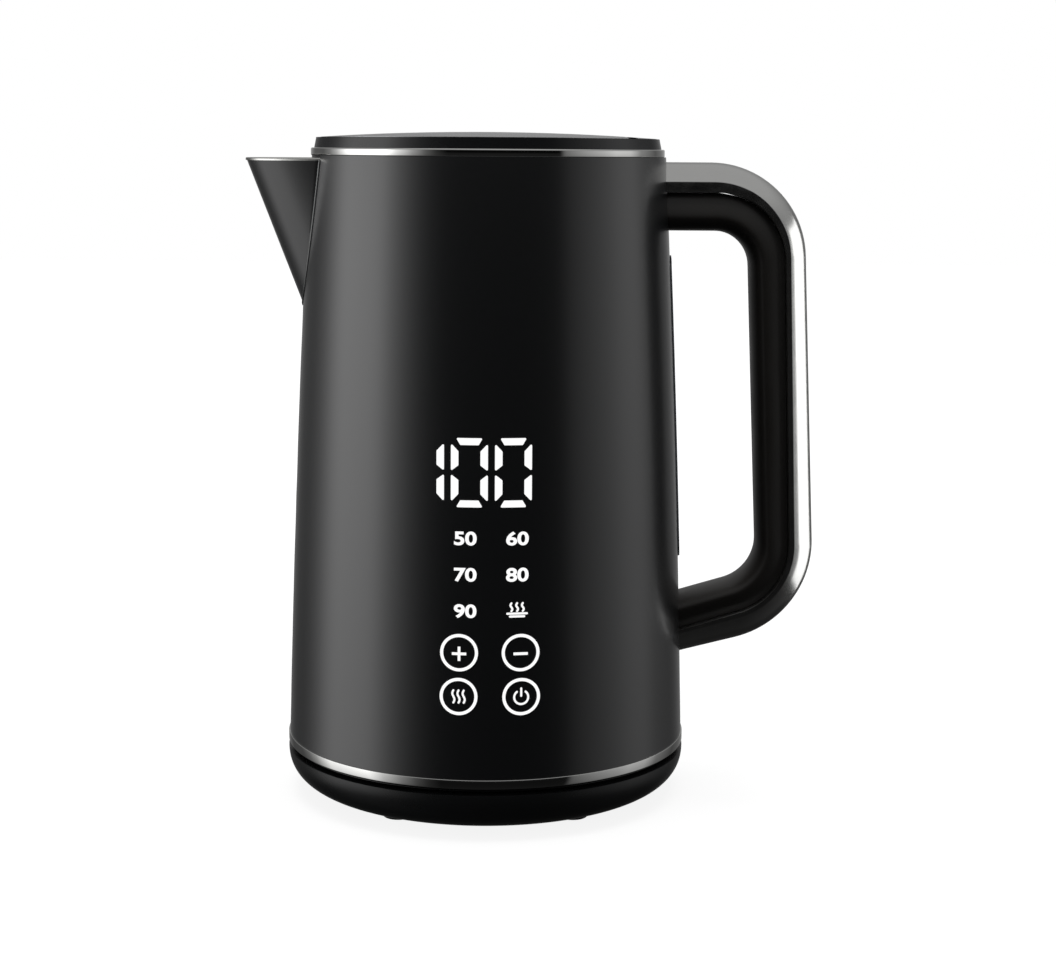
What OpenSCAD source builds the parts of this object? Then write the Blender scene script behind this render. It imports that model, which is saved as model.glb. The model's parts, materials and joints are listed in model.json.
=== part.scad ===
// Cordless electric jug kettle with a V spout, on its round power base.
// Millimetres. Origin on the table, on the kettle's axis. +Z up, spout towards -X,
// handle towards +X, display towards -Y.

/* [Body] */
// Outer radius of the body at its lower edge
body_low_r = 78.9; // [78.5:0.1:79.3]
// Outer radius of the body at its upper edge
body_top_r = 69.3; // [69.1:0.1:69.5]
// How far the body's side bows out halfway up
body_bulge = 0.8; // [0.4:0.1:1.2]
// Thickness of the steel outer shell
shell_t = 0.8; // [0.6:0.1:0.9]
// Outer radius of the straight inner pot
pot_r = 61.9; // [61.7:0.1:62.1]

/* [Base] */
// Radius of the power base at its rim
base_rim_r = 79.4; // [79.2:0.1:80]
// Radius of the flat under the power base
base_foot_r = 59; // [57:0.5:60]
// Exponent of the curve from the rim to the underside
base_curve = 2.26; // [1.9:0.02:2.6]
// Radius of the circle that the feet stand on
feet_pcd_r = 57; // [54:0.5:57.5]

/* [Spout] */
// Reach of the spout's tip from the kettle's axis
spout_reach = 94.4; // [90:0.1:96]
// How bluntly the spout's nose is rounded
spout_blunt = 7.1; // [6.8:0.1:7.4]
// How far the nose line comes in per millimetre down
spout_rake = 0.383; // [0.37:0.001:0.39]

/* [Lid] */
// How far the dome rises above the lid's edge
dome_rise = 2.2; // [1.8:0.1:2.4]
// Radius of the lid that opens
lid_r = 64.9; // [64.5:0.1:65]

/* [Handle] */
// Half the width of the handle
grip_half_w = 12.5; // [10:0.5:14]
// Distance from the axis to the back of the handle, 160 mm up
handle_reach = 127.8; // [125:0.1:130]

/* [Display] */
// Height of the large digits
digit_h = 25.6; // [22:0.2:27]
// Outer radius of the key rings
key_r = 7; // [6:0.1:7.5]

/* [Hidden] */
$fn = 96;
body_low_z = 24;
body_top_z = 252;
body_steps = 12;
body_line = [for (i = [0:body_steps]) let (t = i / body_steps)
    [body_low_z + (body_top_z - body_low_z) * t,
     body_low_r + (body_top_r - body_low_r) * t + 4 * body_bulge * t * (1 - t)]];
function body_r(z) = lookup(z, body_line);

base_low_z = 1.8;
base_curve_z = 18;
base_top_z = 19.4;
base_wall = 2.4;
foot_angles = [36, 144, 216, 324];
gland_z = 11.2;

pot_t = 0.7;
pot_floor_z = 50;
pot_top_z = 244.8;
neck_r = pot_r - pot_t;
collar_r = body_top_r - shell_t - 0.1;
ledge_z = 254.6;
rim_z = 258.9;
rim_in_r = 65.5;
ring_in_r = 67.46;

hinge_x = 54.5;
hinge_z = 257.5;
hinge_pin_r = 1.2;
bead_r = 2;
bead_half_l = 31.5;
bead_full_l = 24;
lug_y = 18;
lug_w = 4;

lid_low_z = 255.2;
lid_edge_z = 259.1;
lid_edge_r = lid_r - 0.5;
plug_r = 59;
bolt_z0 = 252.3;
bolt_t = 1.8;
button_x = 28;
button_r = 8;
lid_screw_angles = [45, 135, 225, 315];

trim_low_z = 21.1;
cover_low_z = 19.5;
cover_r = 77.3;
chassis_r = 65;
socket_r = 19.5;
recess_r = 20.5;
connector_r = 23.5;
window_z0 = 94;
window_z1 = 214;
window_half_w = 7;
tube_x = 66.3;
handle_screw_y = 5.5;
screw_top_z = 231;
screw_low_z = 73.5;

// ---------------------------------------------------------------- shared shapes

// A tube between two radii, from z0 to z1
module tube(r_out, r_in, z0, z1) {
    rotate_extrude() translate([r_in, z0]) square([r_out - r_in, z1 - z0]);
}

// A solid of revolution from its half outline
module turned(points) {
    rotate_extrude() polygon(points);
}

// A cylinder along +Z, or along +X or +Y
module rod(r, z0, z1) {
    translate([0, 0, z0]) cylinder(r = r, h = z1 - z0);
}
module rod_x(r, x0, x1) {
    translate([x0, 0, 0]) rotate([0, 90, 0]) cylinder(r = r, h = x1 - x0);
}
module rod_y(r, y0, y1) {
    translate([0, y0, 0]) rotate([-90, 0, 0]) cylinder(r = r, h = y1 - y0);
}

// A box from its low corner to its high corner
module block(low, high) {
    translate(low) cube(high - low);
}

// The body's outline between two heights, moved outwards by off
function outline(z0, z1, off) = concat([[body_r(z0) + off, z0]],
    [for (p = body_line) if (p[0] > z0 + 0.01 && p[0] < z1 - 0.01) [p[1] + off, p[0]]],
    [[body_r(z1) + off, z1]]);
function reversed(v) = [for (i = [len(v) - 1:-1:0]) v[i]];

// The solid inside the body's outline, and a layer of its wall
module body_solid(off, z0, z1) {
    turned(concat([[0, z0]], outline(z0, z1, off), [[0, z1]]));
}
module body_layer(off_in, off_out, z0, z1) {
    turned(concat(outline(z0, z1, off_out), reversed(outline(z0, z1, off_in))));
}

// A lead of one diameter along straight runs between points, with a round bead at each bend
module lead(points, r) {
    for (i = [0:len(points) - 2]) {
        run = points[i + 1] - points[i];
        translate(points[i]) rotate([0, acos(run[2] / norm(run)), atan2(run[1], run[0])]) {
            cylinder(r = r, h = norm(run), $fn = 16);
            if (i > 0) sphere(r = 1.25 * r, $fn = 16);
        }
    }
}

// A solid through a row of rings of points, closed at both ends
module loft(rings) {
    n = len(rings[0]);
    last = len(rings) - 1;
    polyhedron(
        points = [for (ring = rings) each ring],
        faces = concat(
            [[for (j = [0:n - 1]) j]],
            [[for (j = [n - 1:-1:0]) last * n + j]],
            [for (i = [0:last - 1]) for (j = [0:n - 1])
                [i * n + j, (i + 1) * n + j, (i + 1) * n + (j + 1) % n]],
            [for (i = [0:last - 1]) for (j = [0:n - 1])
                [i * n + j, (i + 1) * n + (j + 1) % n, i * n + (j + 1) % n]]));
}

// ---------------------------------------------------------------- power base

// The base's side, a superellipse from its rim down to its flat underside
function base_side(inset, a0, a1, steps) = [for (i = [0:steps]) let (a = a0 + (a1 - a0) * i / steps)
    [base_foot_r + (base_rim_r - inset - base_foot_r) * pow(cos(a), 2 / base_curve),
     base_curve_z - (base_curve_z - base_low_z - inset) * pow(sin(a), 2 / base_curve)]];
base_split_a = 64.5;
base_split = base_side(0, base_split_a, base_split_a, 1)[0];

module base_feet() {
    color("#1c1c1c") for (a = foot_angles) rotate([0, 0, a])
        translate([0, -feet_pcd_r, 0]) rod(6, 0, 2.7);
}

module base_lower_plate() {
    color("#26272a") difference() {
        turned(concat([[0, base_low_z]], [for (p = reversed(base_side(0, base_split_a, 90, 8))) p],
            [[base_split[0] - 2.6, base_split[1]], [66, 4.4], [0, 4.4]]));
        for (a = foot_angles) rotate([0, 0, a]) translate([0, -feet_pcd_r, 0]) rod(6, 0, 2.7);
        for (a = [0, 120, 240]) rotate([0, 0, a]) translate([42, 0, 0]) {
            rod(3.3, 0, 3);
            rod(1.7, 2, 5);
        }
    }
}

module base_upper_shell() {
    color("#1b1c1e") difference() {
        union() {
            turned(concat(
                [[base_split[0] - 2.4, base_split[1] + 0.1], [base_split[0], base_split[1] + 0.1]],
                reversed(base_side(0, 0, base_split_a - 1, 12)),
                [[base_rim_r, base_top_z - 0.6], [base_rim_r - 0.6, base_top_z], [socket_r + 0.3, base_top_z],
                 [socket_r + 0.3, base_top_z - base_wall]],
                [[base_rim_r - base_wall - 0.4, base_top_z - base_wall]],
                base_side(base_wall, 4, base_split_a - 1, 8)));
            for (a = [0, 120, 240]) rotate([0, 0, a]) translate([42, 0, 0])
                rod(3.8, 4.5, base_top_z - base_wall + 0.5);
        }
        for (a = [0, 120, 240]) rotate([0, 0, a]) translate([42, 0, 0]) rod(1.5, 4, 15);
        translate([0, 0, gland_z]) rod_y(5, 62, 90);
    }
}

module base_socket() {
    color("#2a2b2e") difference() {
        union() {
            rod(27, 13.5, base_top_z - base_wall);
            rod(socket_r, 13.5, 30);
        }
        rod(17.2, 27, 31);
        rod(3, 15, 31);
        tube(9.9, 6.6, 19, 31);
        tube(14.7, 11.4, 19, 31);
    }
}

module contact_rings() {
    color("#c9a24a") {
        tube(7.1, 6.6, 19, 26.4);
        tube(11.9, 11.4, 19, 26.4);
        tube(3, 2.6, 15, 26.4);
    }
}

module cord_gland() {
    color("#161616") translate([0, 0, gland_z]) difference() {
        union() {
            rod_y(5, 65.4, 78.6);
            rod_y(5.8, 63.4, 65.4);
        }
        rod_y(3.6, 60, 80);
    }
}

module cord_clamp() {
    color("#33353a") difference() {
        union() {
            block([-9, 52, 4.4], [9, 60, gland_z - 0.4]);
            block([-9, 52, gland_z + 0.4], [9, 60, gland_z + 4.4]);
        }
        translate([0, 0, gland_z]) rod_y(3.3, 50, 66);
        for (x = [-6.5, 6.5]) translate([x, 56, 0]) rod(1.2, 4, 17);
    }
}

module base_screws() {
    color("#a8abb0") {
        for (a = [0, 120, 240]) rotate([0, 0, a]) translate([42, 0, 0]) {
            rod(3.1, 2.2, 3);
            rod(1.5, 2.5, 14);
        }
        for (x = [-6.5, 6.5]) translate([x, 56, 0]) {
            rod(1.2, 4.6, gland_z + 4.6);
            rod(2.3, gland_z + 4.4, gland_z + 5.6);
        }
    }
}

module base_leads() {
    color("#7a3b1e") {
        lead([[-1.6, 51.5, 10], [-7, 40, 8.5], [-6.9, 20, 8.5], [-6.9, 6, 12.2]], 1);
        lead([[1.6, 51.5, 10], [8, 38, 8.5], [12.5, 18, 8.5], [12.5, 4, 12.2]], 1);
        lead([[0, 51.5, 12.6], [0, 30, 10.5], [0, 6, 10.5], [0, 0.6, 12.2]], 1);
    }
}

module connector_shutter() {
    color("#3a3c40") difference() {
        rod(17.1, 27.2, 28.6);
        rod(3.2, 27, 29);
        for (a = [0, 180]) rotate([0, 0, a]) {
            block([7.5, -2.2, 27], [9.6, 2.2, 29]);
            block([12.3, -2.2, 27], [14.4, 2.2, 29]);
        }
    }
}

// ---------------------------------------------------------------- kettle bottom

bottom_screw_r = 60;
bottom_screw_angles = [30, 150, 270];

module bottom_cover() {
    color("#17181a") difference() {
        turned([[connector_r, 22], [68, 22], [70, cover_low_z], [cover_r - 0.6, cover_low_z],
            [cover_r, cover_low_z + 0.6], [cover_r, body_low_z], [76.6, body_low_z], [76.6, 32],
            [74.6, 32], [74.6, body_low_z], [connector_r, body_low_z]]);
        for (a = bottom_screw_angles) rotate([0, 0, a]) translate([bottom_screw_r, 0, 0]) {
            rod(1.7, 20, 25);
            rod(3.3, 21, 23);
        }
    }
}

module bottom_trim_ring() {
    color("#cfd0d2") turned([[cover_r, trim_low_z], [79.1, trim_low_z], [base_rim_r, trim_low_z + 0.4],
        [base_rim_r, body_low_z - 0.6], [79.0, body_low_z], [cover_r, body_low_z]]);
}

module bottom_screws() {
    color("#a8abb0") for (a = bottom_screw_angles) rotate([0, 0, a]) translate([bottom_screw_r, 0, 0]) {
        rod(3.1, 21.8, 23);
        rod(1.5, 22.5, 34);
    }
}

module kettle_connector() {
    color("#dcdcd8") difference() {
        union() {
            tube(connector_r, recess_r, 22, 33);
            rod(connector_r, 33, 38);
            tube(27, connector_r - 0.1, body_low_z, 26);
        }
        rod(2.2, 30, 40);
        for (a = [0, 180]) rotate([0, 0, a]) {
            block([8.1, -1.5, 30], [8.9, 1.5, 40]);
            block([12.9, -1.5, 30], [13.7, 1.5, 40]);
        }
    }
}

module connector_prongs() {
    color("#c9a24a") {
        rod(2.2, 20.5, 42);
        for (a = [0, 180]) rotate([0, 0, a]) {
            block([8.1, -1.5, 20.5], [8.9, 1.5, 41]);
            block([12.9, -1.5, 20.5], [13.7, 1.5, 41]);
        }
    }
}

module chassis_ring() {
    color("#d8d8d4") difference() {
        union() {
            tube(chassis_r, 63, body_low_z, pot_floor_z - 4);
            tube(chassis_r, 62, pot_floor_z - 4, pot_floor_z + 3);
            for (a = bottom_screw_angles) rotate([0, 0, a]) translate([bottom_screw_r, 0, 0])
                rod(3.8, body_low_z + 0.4, 38);
        }
        for (a = bottom_screw_angles) rotate([0, 0, a]) translate([bottom_screw_r, 0, 0])
            rod(1.5, 20, 35);
        for (a = [-60, 60, 120, 200]) rotate([0, 0, a]) block([50, -6, 30], [70, 6, 42]);
    }
}

module heating_plate() {
    color("#b9bcc0") difference() {
        rod(58, pot_floor_z - 3, pot_floor_z);
        translate([0, -30, 0]) rod(4, 40, 60);
    }
}

element_r = 42;
element_gap_a = 40;
module heating_element() {
    color("#8d9094") {
        rotate([0, 0, 180 + element_gap_a / 2]) rotate_extrude(angle = 360 - element_gap_a)
            translate([element_r, 43.6]) circle(r = 3.4);
        for (a = [-1, 1]) rotate([0, 0, 180 + a * element_gap_a / 2]) translate([element_r, 0, 0])
            rod(3.4, 36, 43.6);
    }
}

module element_terminals() {
    color("#c9a24a") for (a = [-1, 1])
        rotate([0, 0, 180 + a * element_gap_a / 2]) translate([element_r, 0, 0]) {
        rod(1.3, 29, 36);
        block([-2.5, -0.4, 26], [2.5, 0.4, 29]);
    }
}

module boil_dry_cutout() {
    color("#c8b58a") translate([-28, 0, 0]) {
        difference() {
            rod(8, 40.5, 47);
            rod(6, 46.4, 48);
        }
        for (y = [-5, 5]) block([-1.5, y - 0.4, 38.3], [1.5, y + 0.4, 40.6]);
    }
}

module temperature_sensor() {
    color("#c4c7ca") translate([0, -30, 0]) {
        rod(2.2, 42, 58);
        translate([0, 0, 58]) sphere(r = 2.2, $fn = 32);
        rod(3.6, 42, 44.4);
    }
}

module sensor_seal() {
    color("#b5402c") translate([0, -30, 0]) {
        tube(4, 2.2, 44.4, pot_floor_z + 1);
        tube(5.4, 2.2, pot_floor_z + 1, pot_floor_z + 2);
    }
}

// ---------------------------------------------------------------- kettle body

spout_top_z = 251;
spout_t = 1;
spout_steps = 8;

// Half the spout's width at a depth d behind its nose, and the slope of its side there.
// Every level section is the same curve, moved along the raked nose line.
function spout_half(d) = spout_blunt * sqrt(d) - 0.355 * d;
function spout_side_a(d) = d < 0.01 ? 90 : atan(spout_blunt / (2 * sqrt(d)) - 0.355);
function spout_plan(inset, depth) = [for (i = [-spout_steps:spout_steps])
    let (d = depth * pow(i / spout_steps, 2), a = spout_side_a(d))
    [d + inset * sin(a), (i < 0 ? -1 : 1) * (spout_half(d) - inset * cos(a))]];
function nose_x(z) = -spout_reach + spout_rake * (spout_top_z - z);

// The raked spout before the body cuts it, closed or open by some height at the top
module spout_prism(inset, top) {
    hull() for (z = [186, spout_top_z - 0.5 + top])
        translate([nose_x(z), 0, z]) linear_extrude(0.5) polygon(spout_plan(inset, 42));
}

// Where the side meets the body at a height, by halving, and the opening that this gives
function seam_d(z, low, high, n) = n == 0 ? low : let (d = (low + high) / 2)
    norm([nose_x(z) + d, spout_half(d)]) > body_r(z) ? seam_d(z, d, high, n - 1) : seam_d(z, low, d, n - 1);
function seam_y(z) = spout_half(seam_d(z, 0, 42, 20));
throat_z = [193.6, 194.4, 196, 199, 203, 209, 216, 224, 233, 242, spout_top_z];
module throat(inset, top, x0) {
    side = concat([for (z = throat_z) [max(0.1, seam_y(z) - inset), z + max(0, inset - (z - 193.6))]],
        [[seam_y(spout_top_z) - inset, spout_top_z + top]]);
    intersection() {
        translate([x0, 0, 0]) rotate([90, 0, 90]) linear_extrude(-50 - x0)
            polygon(concat(side, [for (p = reversed(side)) [-p[0], p[1]]]));
        body_solid(0, 180, 252);
    }
}

module window_slot(grow, x0, x1) {
    hull() for (z = [window_z0 + window_half_w, window_z1 - window_half_w])
        translate([0, 0, z]) rod_x(window_half_w + grow, x0, x1, $fn = 32);
}

// The same slot as true cylinders and a block, for the shell and the window
module window_cut(grow, x0, x1) {
    for (z = [window_z0 + window_half_w, window_z1 - window_half_w])
        translate([0, 0, z]) rod_x(window_half_w + grow, x0, x1);
    block([x0, -window_half_w - grow, window_z0 + window_half_w],
        [x1, window_half_w + grow, window_z1 - window_half_w]);
}

module handle_screw_holes(r, x0, x1) {
    for (z = [screw_top_z, screw_low_z]) for (y = [-handle_screw_y, handle_screw_y])
        translate([0, y, z]) rod_x(r, x0, x1);
}

module outer_shell() {
    color("#1e1f21") difference() {
        body_layer(-shell_t, 0, body_low_z, body_top_z);
        throat(0, 2, -90);
        window_cut(0, 60, 90);
        handle_screw_holes(2.1, 60, 90);
    }
}

module spout() {
    color("#1e1f21") difference() {
        union() {
            difference() {
                spout_prism(0, 0);
                body_solid(-0.1, 180, 252);
            }
            throat(0, 0, -90);
        }
        difference() {
            spout_prism(spout_t, 1);
            body_solid(0, 180, 252);
        }
        throat(spout_t, 2, -90);
        rod(neck_r, 180, 260);
    }
}

module inner_pot() {
    color("#b8babd") difference() {
        turned([[0, pot_floor_z], [pot_r - 4, pot_floor_z], [pot_r - 1.2, pot_floor_z + 1.2],
            [pot_r, pot_floor_z + 4], [pot_r, pot_top_z - 0.7], [66.5, pot_top_z - 0.7], [66.5, pot_top_z],
            [neck_r, pot_top_z], [neck_r, pot_floor_z + 4.4], [neck_r - 1, pot_floor_z + 2],
            [pot_r - 4.4, pot_floor_z + 1], [0, pot_floor_z + 1]]);
        throat(0, 0, -90);
        translate([0, -30, 0]) rod(4, 40, 60);
        for (z = [104, 206]) translate([0, 0, z]) rod_x(3.4, 50, 70);
    }
}

filter_half_a = 33;
module filter_frame() {
    color("#2c2d30") rotate([0, 0, 180 - filter_half_a]) difference() {
        rotate_extrude(angle = 2 * filter_half_a) translate([60.2, 197]) square([0.9, 46]);
        for (i = [0:3]) rotate([0, 0, 2 + i * 16]) rotate_extrude(angle = 14)
            translate([59, 200]) square([4, 40]);
    }
}

module filter_mesh() {
    color("#9a9da1") rotate([0, 0, 180 - filter_half_a]) rotate_extrude(angle = 2 * filter_half_a)
        translate([59.9, 198]) square([0.3, 44]);
}

module top_collar() {
    color("#18191b") difference() {
        turned([[neck_r, pot_top_z], [collar_r, pot_top_z], [collar_r, body_top_z], [ring_in_r, body_top_z],
            [ring_in_r, 255], [66.67, rim_z], [rim_in_r, rim_z], [rim_in_r, ledge_z], [neck_r, ledge_z]]);
        throat(0, 0, -90);
        block([-64.2, -4.3, bolt_z0 - 0.2], [-60, 4.3, 256]);
    }
}

module top_trim_ring() {
    color("#cfd0d2") turned([[ring_in_r, body_top_z], [68.7, body_top_z], [68.7, 254.6],
        [68.3, 255], [ring_in_r, 255]]);
}

// The dome over the lid and the hinge cover, as a solid down to z0
dome_sphere_r = (pow(lid_edge_r, 2) + pow(dome_rise, 2)) / (2 * dome_rise);
module dome_solid(r, z0, drop) {
    intersection() {
        rod(r, z0, lid_edge_z + dome_rise);
        turned(concat([[0, z0 - 1]], [[r + 1, z0 - 1]],
            [for (i = [0:8]) let (x = (lid_edge_r + 1.4) * (1 - i / 8))
                [x, lid_edge_z + dome_rise - drop - dome_sphere_r
                    + sqrt(pow(dome_sphere_r, 2) - pow(x, 2))]]));
    }
}

module hinge_cover() {
    color("#9c9ea1") difference() {
        intersection() {
            dome_solid(rim_in_r, ledge_z, 0);
            block([52.2, -60, 250], [70, 60, 270]);
        }
        translate([hinge_x, 0, hinge_z]) rod_y(bead_r + 0.2, -lug_y, lug_y);
        for (s = [-1, 1]) translate([hinge_x, 0, hinge_z])
            rod_y(bead_r + 0.2, s > 0 ? lug_y + lug_w : -60, s > 0 ? 60 : -lug_y - lug_w);
        block([50, -lug_y, 250], [hinge_x, lug_y, 270]);
        block([50, lug_y + lug_w, 250], [hinge_x, 60, 270]);
        block([50, -60, 250], [hinge_x, -lug_y - lug_w, 270]);
        translate([hinge_x, 0, hinge_z]) rod_y(hinge_pin_r, -30, 30);
        block([50, -60, 250], [hinge_x + 4, 60, lid_low_z]);
    }
}

module hinge_pin() {
    half = lug_y + lug_w - 0.4;
    color("#c4c7ca") translate([hinge_x, 0, hinge_z]) rod_y(hinge_pin_r, -half, half);
}

// ---------------------------------------------------------------- lid

module lid_hinge_notches() {
    for (s = [-1, 1]) translate([0, s * (lug_y + lug_w / 2), 0])
        block([50.9, -lug_w / 2 - 0.3, 250], [70, lug_w / 2 + 0.3, 270]);
}

module lid_body() {
    color("#1f2022") difference() {
        union() {
            difference() {
                turned([[56.6, 246], [plug_r, 246], [plug_r, lid_low_z], [lid_r, lid_low_z], [lid_r, 257.8],
                    [56.6, 257.8]]);
                block([hinge_x, -70, ledge_z - 0.2], [80, 70, 270]);
            }
            rod(56.7, 246, 248);
            translate([hinge_x, 0, hinge_z]) {
                rod_y(bead_r, -bead_full_l, bead_full_l);
                rod_y(bead_r - 0.5, -bead_half_l, bead_half_l);
            }
            for (a = lid_screw_angles) rotate([0, 0, a]) translate([48, 0, 0]) rod(3, 247, 257.8);
            translate([button_x, 0, 0]) tube(10.6, 7.4, 247.9, 254.9);
            for (s = [-1, 1]) block([-33.6, 6.8 * s - 1.9, 247.9], [-31.6, 6.8 * s + 1.9, 255]);
        }
        translate([hinge_x, 0, hinge_z]) rod_y(hinge_pin_r + 0.05, -40, 40);
        translate([hinge_x, 0, hinge_z]) rod_y(bead_r + 1, -6, 6);
        lid_hinge_notches();
        difference() {
            block([51.5, -70, 253], [60, 70, 262]);
            rod(lid_r - 0.7, 250, 270);
        }
        block([-70, -4.2, bolt_z0 - 0.1], [-50, 4.2, bolt_z0 + bolt_t + 0.1]);
        block([10, -6.6, bolt_z0 - 0.2], [45, 6.6, bolt_z0 + bolt_t + 0.2]);
        for (a = lid_screw_angles) rotate([0, 0, a]) translate([48, 0, 0]) rod(1.2, 240, 256);
    }
}

module lid_top_plate() {
    color("#9c9ea1") difference() {
        dome_solid(lid_r, 257.8, 0);
        intersection() {
            dome_solid(lid_r - 1.2, 257, 1.2);
            rod(lid_r - 1.2, 256, 262);
        }
        block([hinge_x - 2.1, -70, 250], [80, 70, 270]);
        lid_hinge_notches();
        translate([button_x, 0, 0]) rod(button_r + 0.25, 250, 270);
    }
}

module lid_inner_plate() {
    color("#b8babd") difference() {
        rod(plug_r - 0.5, 245, 246);
        for (a = lid_screw_angles) rotate([0, 0, a]) translate([48, 0, 0]) rod(1.4, 240, 256);
    }
}

module lid_gasket() {
    color("#8a8c90") turned([[plug_r, 246.2], [plug_r + 0.8, 246.2], [plug_r + 1.2, 247.4],
        [plug_r + 0.8, 248.6], [plug_r, 248.6]]);
}

module lid_screws() {
    color("#a8abb0") for (a = lid_screw_angles) rotate([0, 0, a]) translate([48, 0, 0]) {
        rod(2.6, 243.9, 245);
        rod(1.2, 244.5, 255);
    }
}

module lid_spring() {
    color("#b0b3b7") for (y = [-4.8:1.2:4.8]) translate([hinge_x, y, hinge_z]) rotate([90, 0, 0])
        rotate_extrude() translate([1.75, 0]) circle(r = 0.35, $fn = 16);
}

// ---------------------------------------------------------------- lid latch

button_top = lid_edge_z + dome_rise - dome_sphere_r
    + sqrt(pow(dome_sphere_r, 2) - pow(button_x + button_r, 2)) - 0.05;
// The ramp that turns the button's travel into the bolt's: 2.6 mm along for 3 mm down
ramp_x = 31;
ramp_slope = 2.6 / 3;
module lid_button() {
    color("#2a2b2e") {
        translate([button_x, 0, 0]) {
            rod(button_r, 258.4, button_top);
            rod(button_r + 1, 258.4, 259);
        }
        translate([0, 3, 0]) rotate([90, 0, 0]) linear_extrude(6) polygon([[26, 252],
            [ramp_x - 0.06 - 0.3 * ramp_slope, 252], [ramp_x - 0.06 + 2.3 * ramp_slope, 254.6],
            [ramp_x - 0.06 + 2.3 * ramp_slope, 258.5], [26, 258.5]]);
    }
}

module button_spring() {
    color("#b0b3b7") translate([button_x, 0, 0])
        for (z = [255.4:0.85:257.95]) translate([0, 0, z])
            rotate_extrude() translate([8.2, 0]) circle(r = 0.4, $fn = 16);
}

module latch_bolt() {
    color("#3a3c40") difference() {
        union() {
            block([-63.4, -4, bolt_z0], [20, 4, bolt_z0 + bolt_t]);
            block([18, -6, bolt_z0], [36, 6, bolt_z0 + bolt_t]);
            block([-46, -8, bolt_z0], [-43, 8, bolt_z0 + bolt_t]);
        }
        translate([0, 4.2, bolt_z0]) rotate([90, 0, 0]) linear_extrude(8.4)
            polygon([[20.5, -1], [ramp_x - ramp_slope, -1], [ramp_x + 3 * ramp_slope, 3], [20.5, 3]]);
    }
}

module latch_spring() {
    color("#b0b3b7") for (y = [-6.8, 6.8]) for (x = [-42:1.4:-34])
        translate([x, y, bolt_z0 + 0.9]) rotate([0, 90, 0])
            rotate_extrude() translate([1.5, 0]) circle(r = 0.3, $fn = 16);
}

// ---------------------------------------------------------------- handle

// One line of the handle seen from the side: in along the top arm at top_z, round rt,
// down past x_mid at 160 mm up and leaning out by lean, round rl, and back along the lower
// arm, which is at low_z where x is 78 and rises by slope.
function handle_line(top_z, x_mid, lean, low_z, slope, rt, rl) = let (
        la = atan(lean),
        corner1 = [x_mid + lean * (160 - top_z), top_z],
        x2 = (x_mid + lean * (160 - low_z + slope * 78)) / (1 + lean * slope),
        corner2 = [x2, low_z + slope * (x2 - 78)],
        c1 = [corner1[0] - rt * tan((90 - la) / 2), top_z - rt],
        sa = atan(slope),
        t2 = rl * tan((90 - sa + la) / 2),
        a2 = corner2 + t2 * [-sin(la), cos(la)],
        c2 = a2 + rl * [-cos(la), -sin(la)])
    concat([[64, top_z]],
        [for (i = [0:10]) let (a = 90 - (90 - la) * i / 10) c1 + rt * [cos(a), sin(a)]],
        [for (i = [0:10]) let (a = la - (90 + la - sa) * i / 10) c2 + rl * [cos(a), sin(a)]],
        [[66, low_z - slope * 12]]);

outer_line = handle_line(250.2, handle_reach, 0.048, 55.1, 0.2475, 38, 40);
crown_line = handle_line(242.8, handle_reach - 8.2, 0.0367, 64.7, 0.276, 30, 30);
split_line = handle_line(238.4, handle_reach - 10.2, 0.0355, 66.5, 0.304, 27, 27);
inner_line = handle_line(223.7, handle_reach - 22.8, 0.0467, 79.3, 0.2886, 14, 17);

// A point between two lines, and its place across the handle
function across(a, b, u, v) = let (p = a + (b - a) * u) [p[0], v * grip_half_w, p[1]];

function halfway(line, i) = (line[i] + line[i + 1]) / 2;

module handle_grip() {
    section = [[0, -1], [0.45, -1], [0.78, -0.9], [0.94, -0.64], [1, -0.3],
        [1, 0.3], [0.94, 0.64], [0.78, 0.9], [0.45, 1], [0, 1]];
    trough = [[-0.2, -0.8], [0.55, -0.8], [0.8, -0.6], [0.86, -0.3], [0.86, 0.3], [0.8, 0.6], [0.55, 0.8],
        [-0.2, 0.8]];
    color("#202123") difference() {
        loft([for (i = [0:len(split_line) - 1])
            [for (s = section) across(split_line[i], inner_line[i], s[0], s[1])]]);
        loft([for (i = [1:len(split_line) - 3])
            [for (s = trough) across(halfway(split_line, i), halfway(inner_line, i), s[0], s[1])]]);
        body_solid(0, body_low_z, body_top_z);
        handle_screw_holes(1.8, 60, 90);
    }
}

// The crown of the band is a shallow arc, which meets each flank at an edge
crown_half_a = 62;
module handle_band() {
    crown = [for (i = [-4:4]) let (a = crown_half_a * i / 4)
        [(cos(a) - cos(crown_half_a)) / (1 - cos(crown_half_a)), sin(a) / sin(crown_half_a)]];
    color("#d2d3d5") difference() {
        loft([for (i = [0:len(split_line) - 1]) reversed(concat(
            [across(split_line[i], outer_line[i], 0, 1), across(split_line[i], outer_line[i], 0, -1)],
            [for (s = crown) across(crown_line[i], outer_line[i], s[0], s[1])]))]);
        loft([for (i = [0:len(split_line) - 1]) reversed(concat(
            [across(split_line[i], outer_line[i], -0.1, 0.88), across(split_line[i], outer_line[i], -0.1, -0.88)],
            [for (s = crown) across(crown_line[i], outer_line[i], 0.84 * s[0], 0.88 * s[1])]))]);
        body_solid(0, body_low_z, body_top_z);
    }
}

module handle_brackets() {
    color("#8d9094") difference() {
        intersection() {
            body_layer(-shell_t - 2, -shell_t, body_low_z, 243);
            union() {
                block([60, -11, screw_top_z - 7], [80, 11, screw_top_z + 7]);
                block([60, -11, screw_low_z - 7], [80, 11, screw_low_z + 7]);
            }
        }
        handle_screw_holes(1.8, 60, 90);
    }
}

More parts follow.
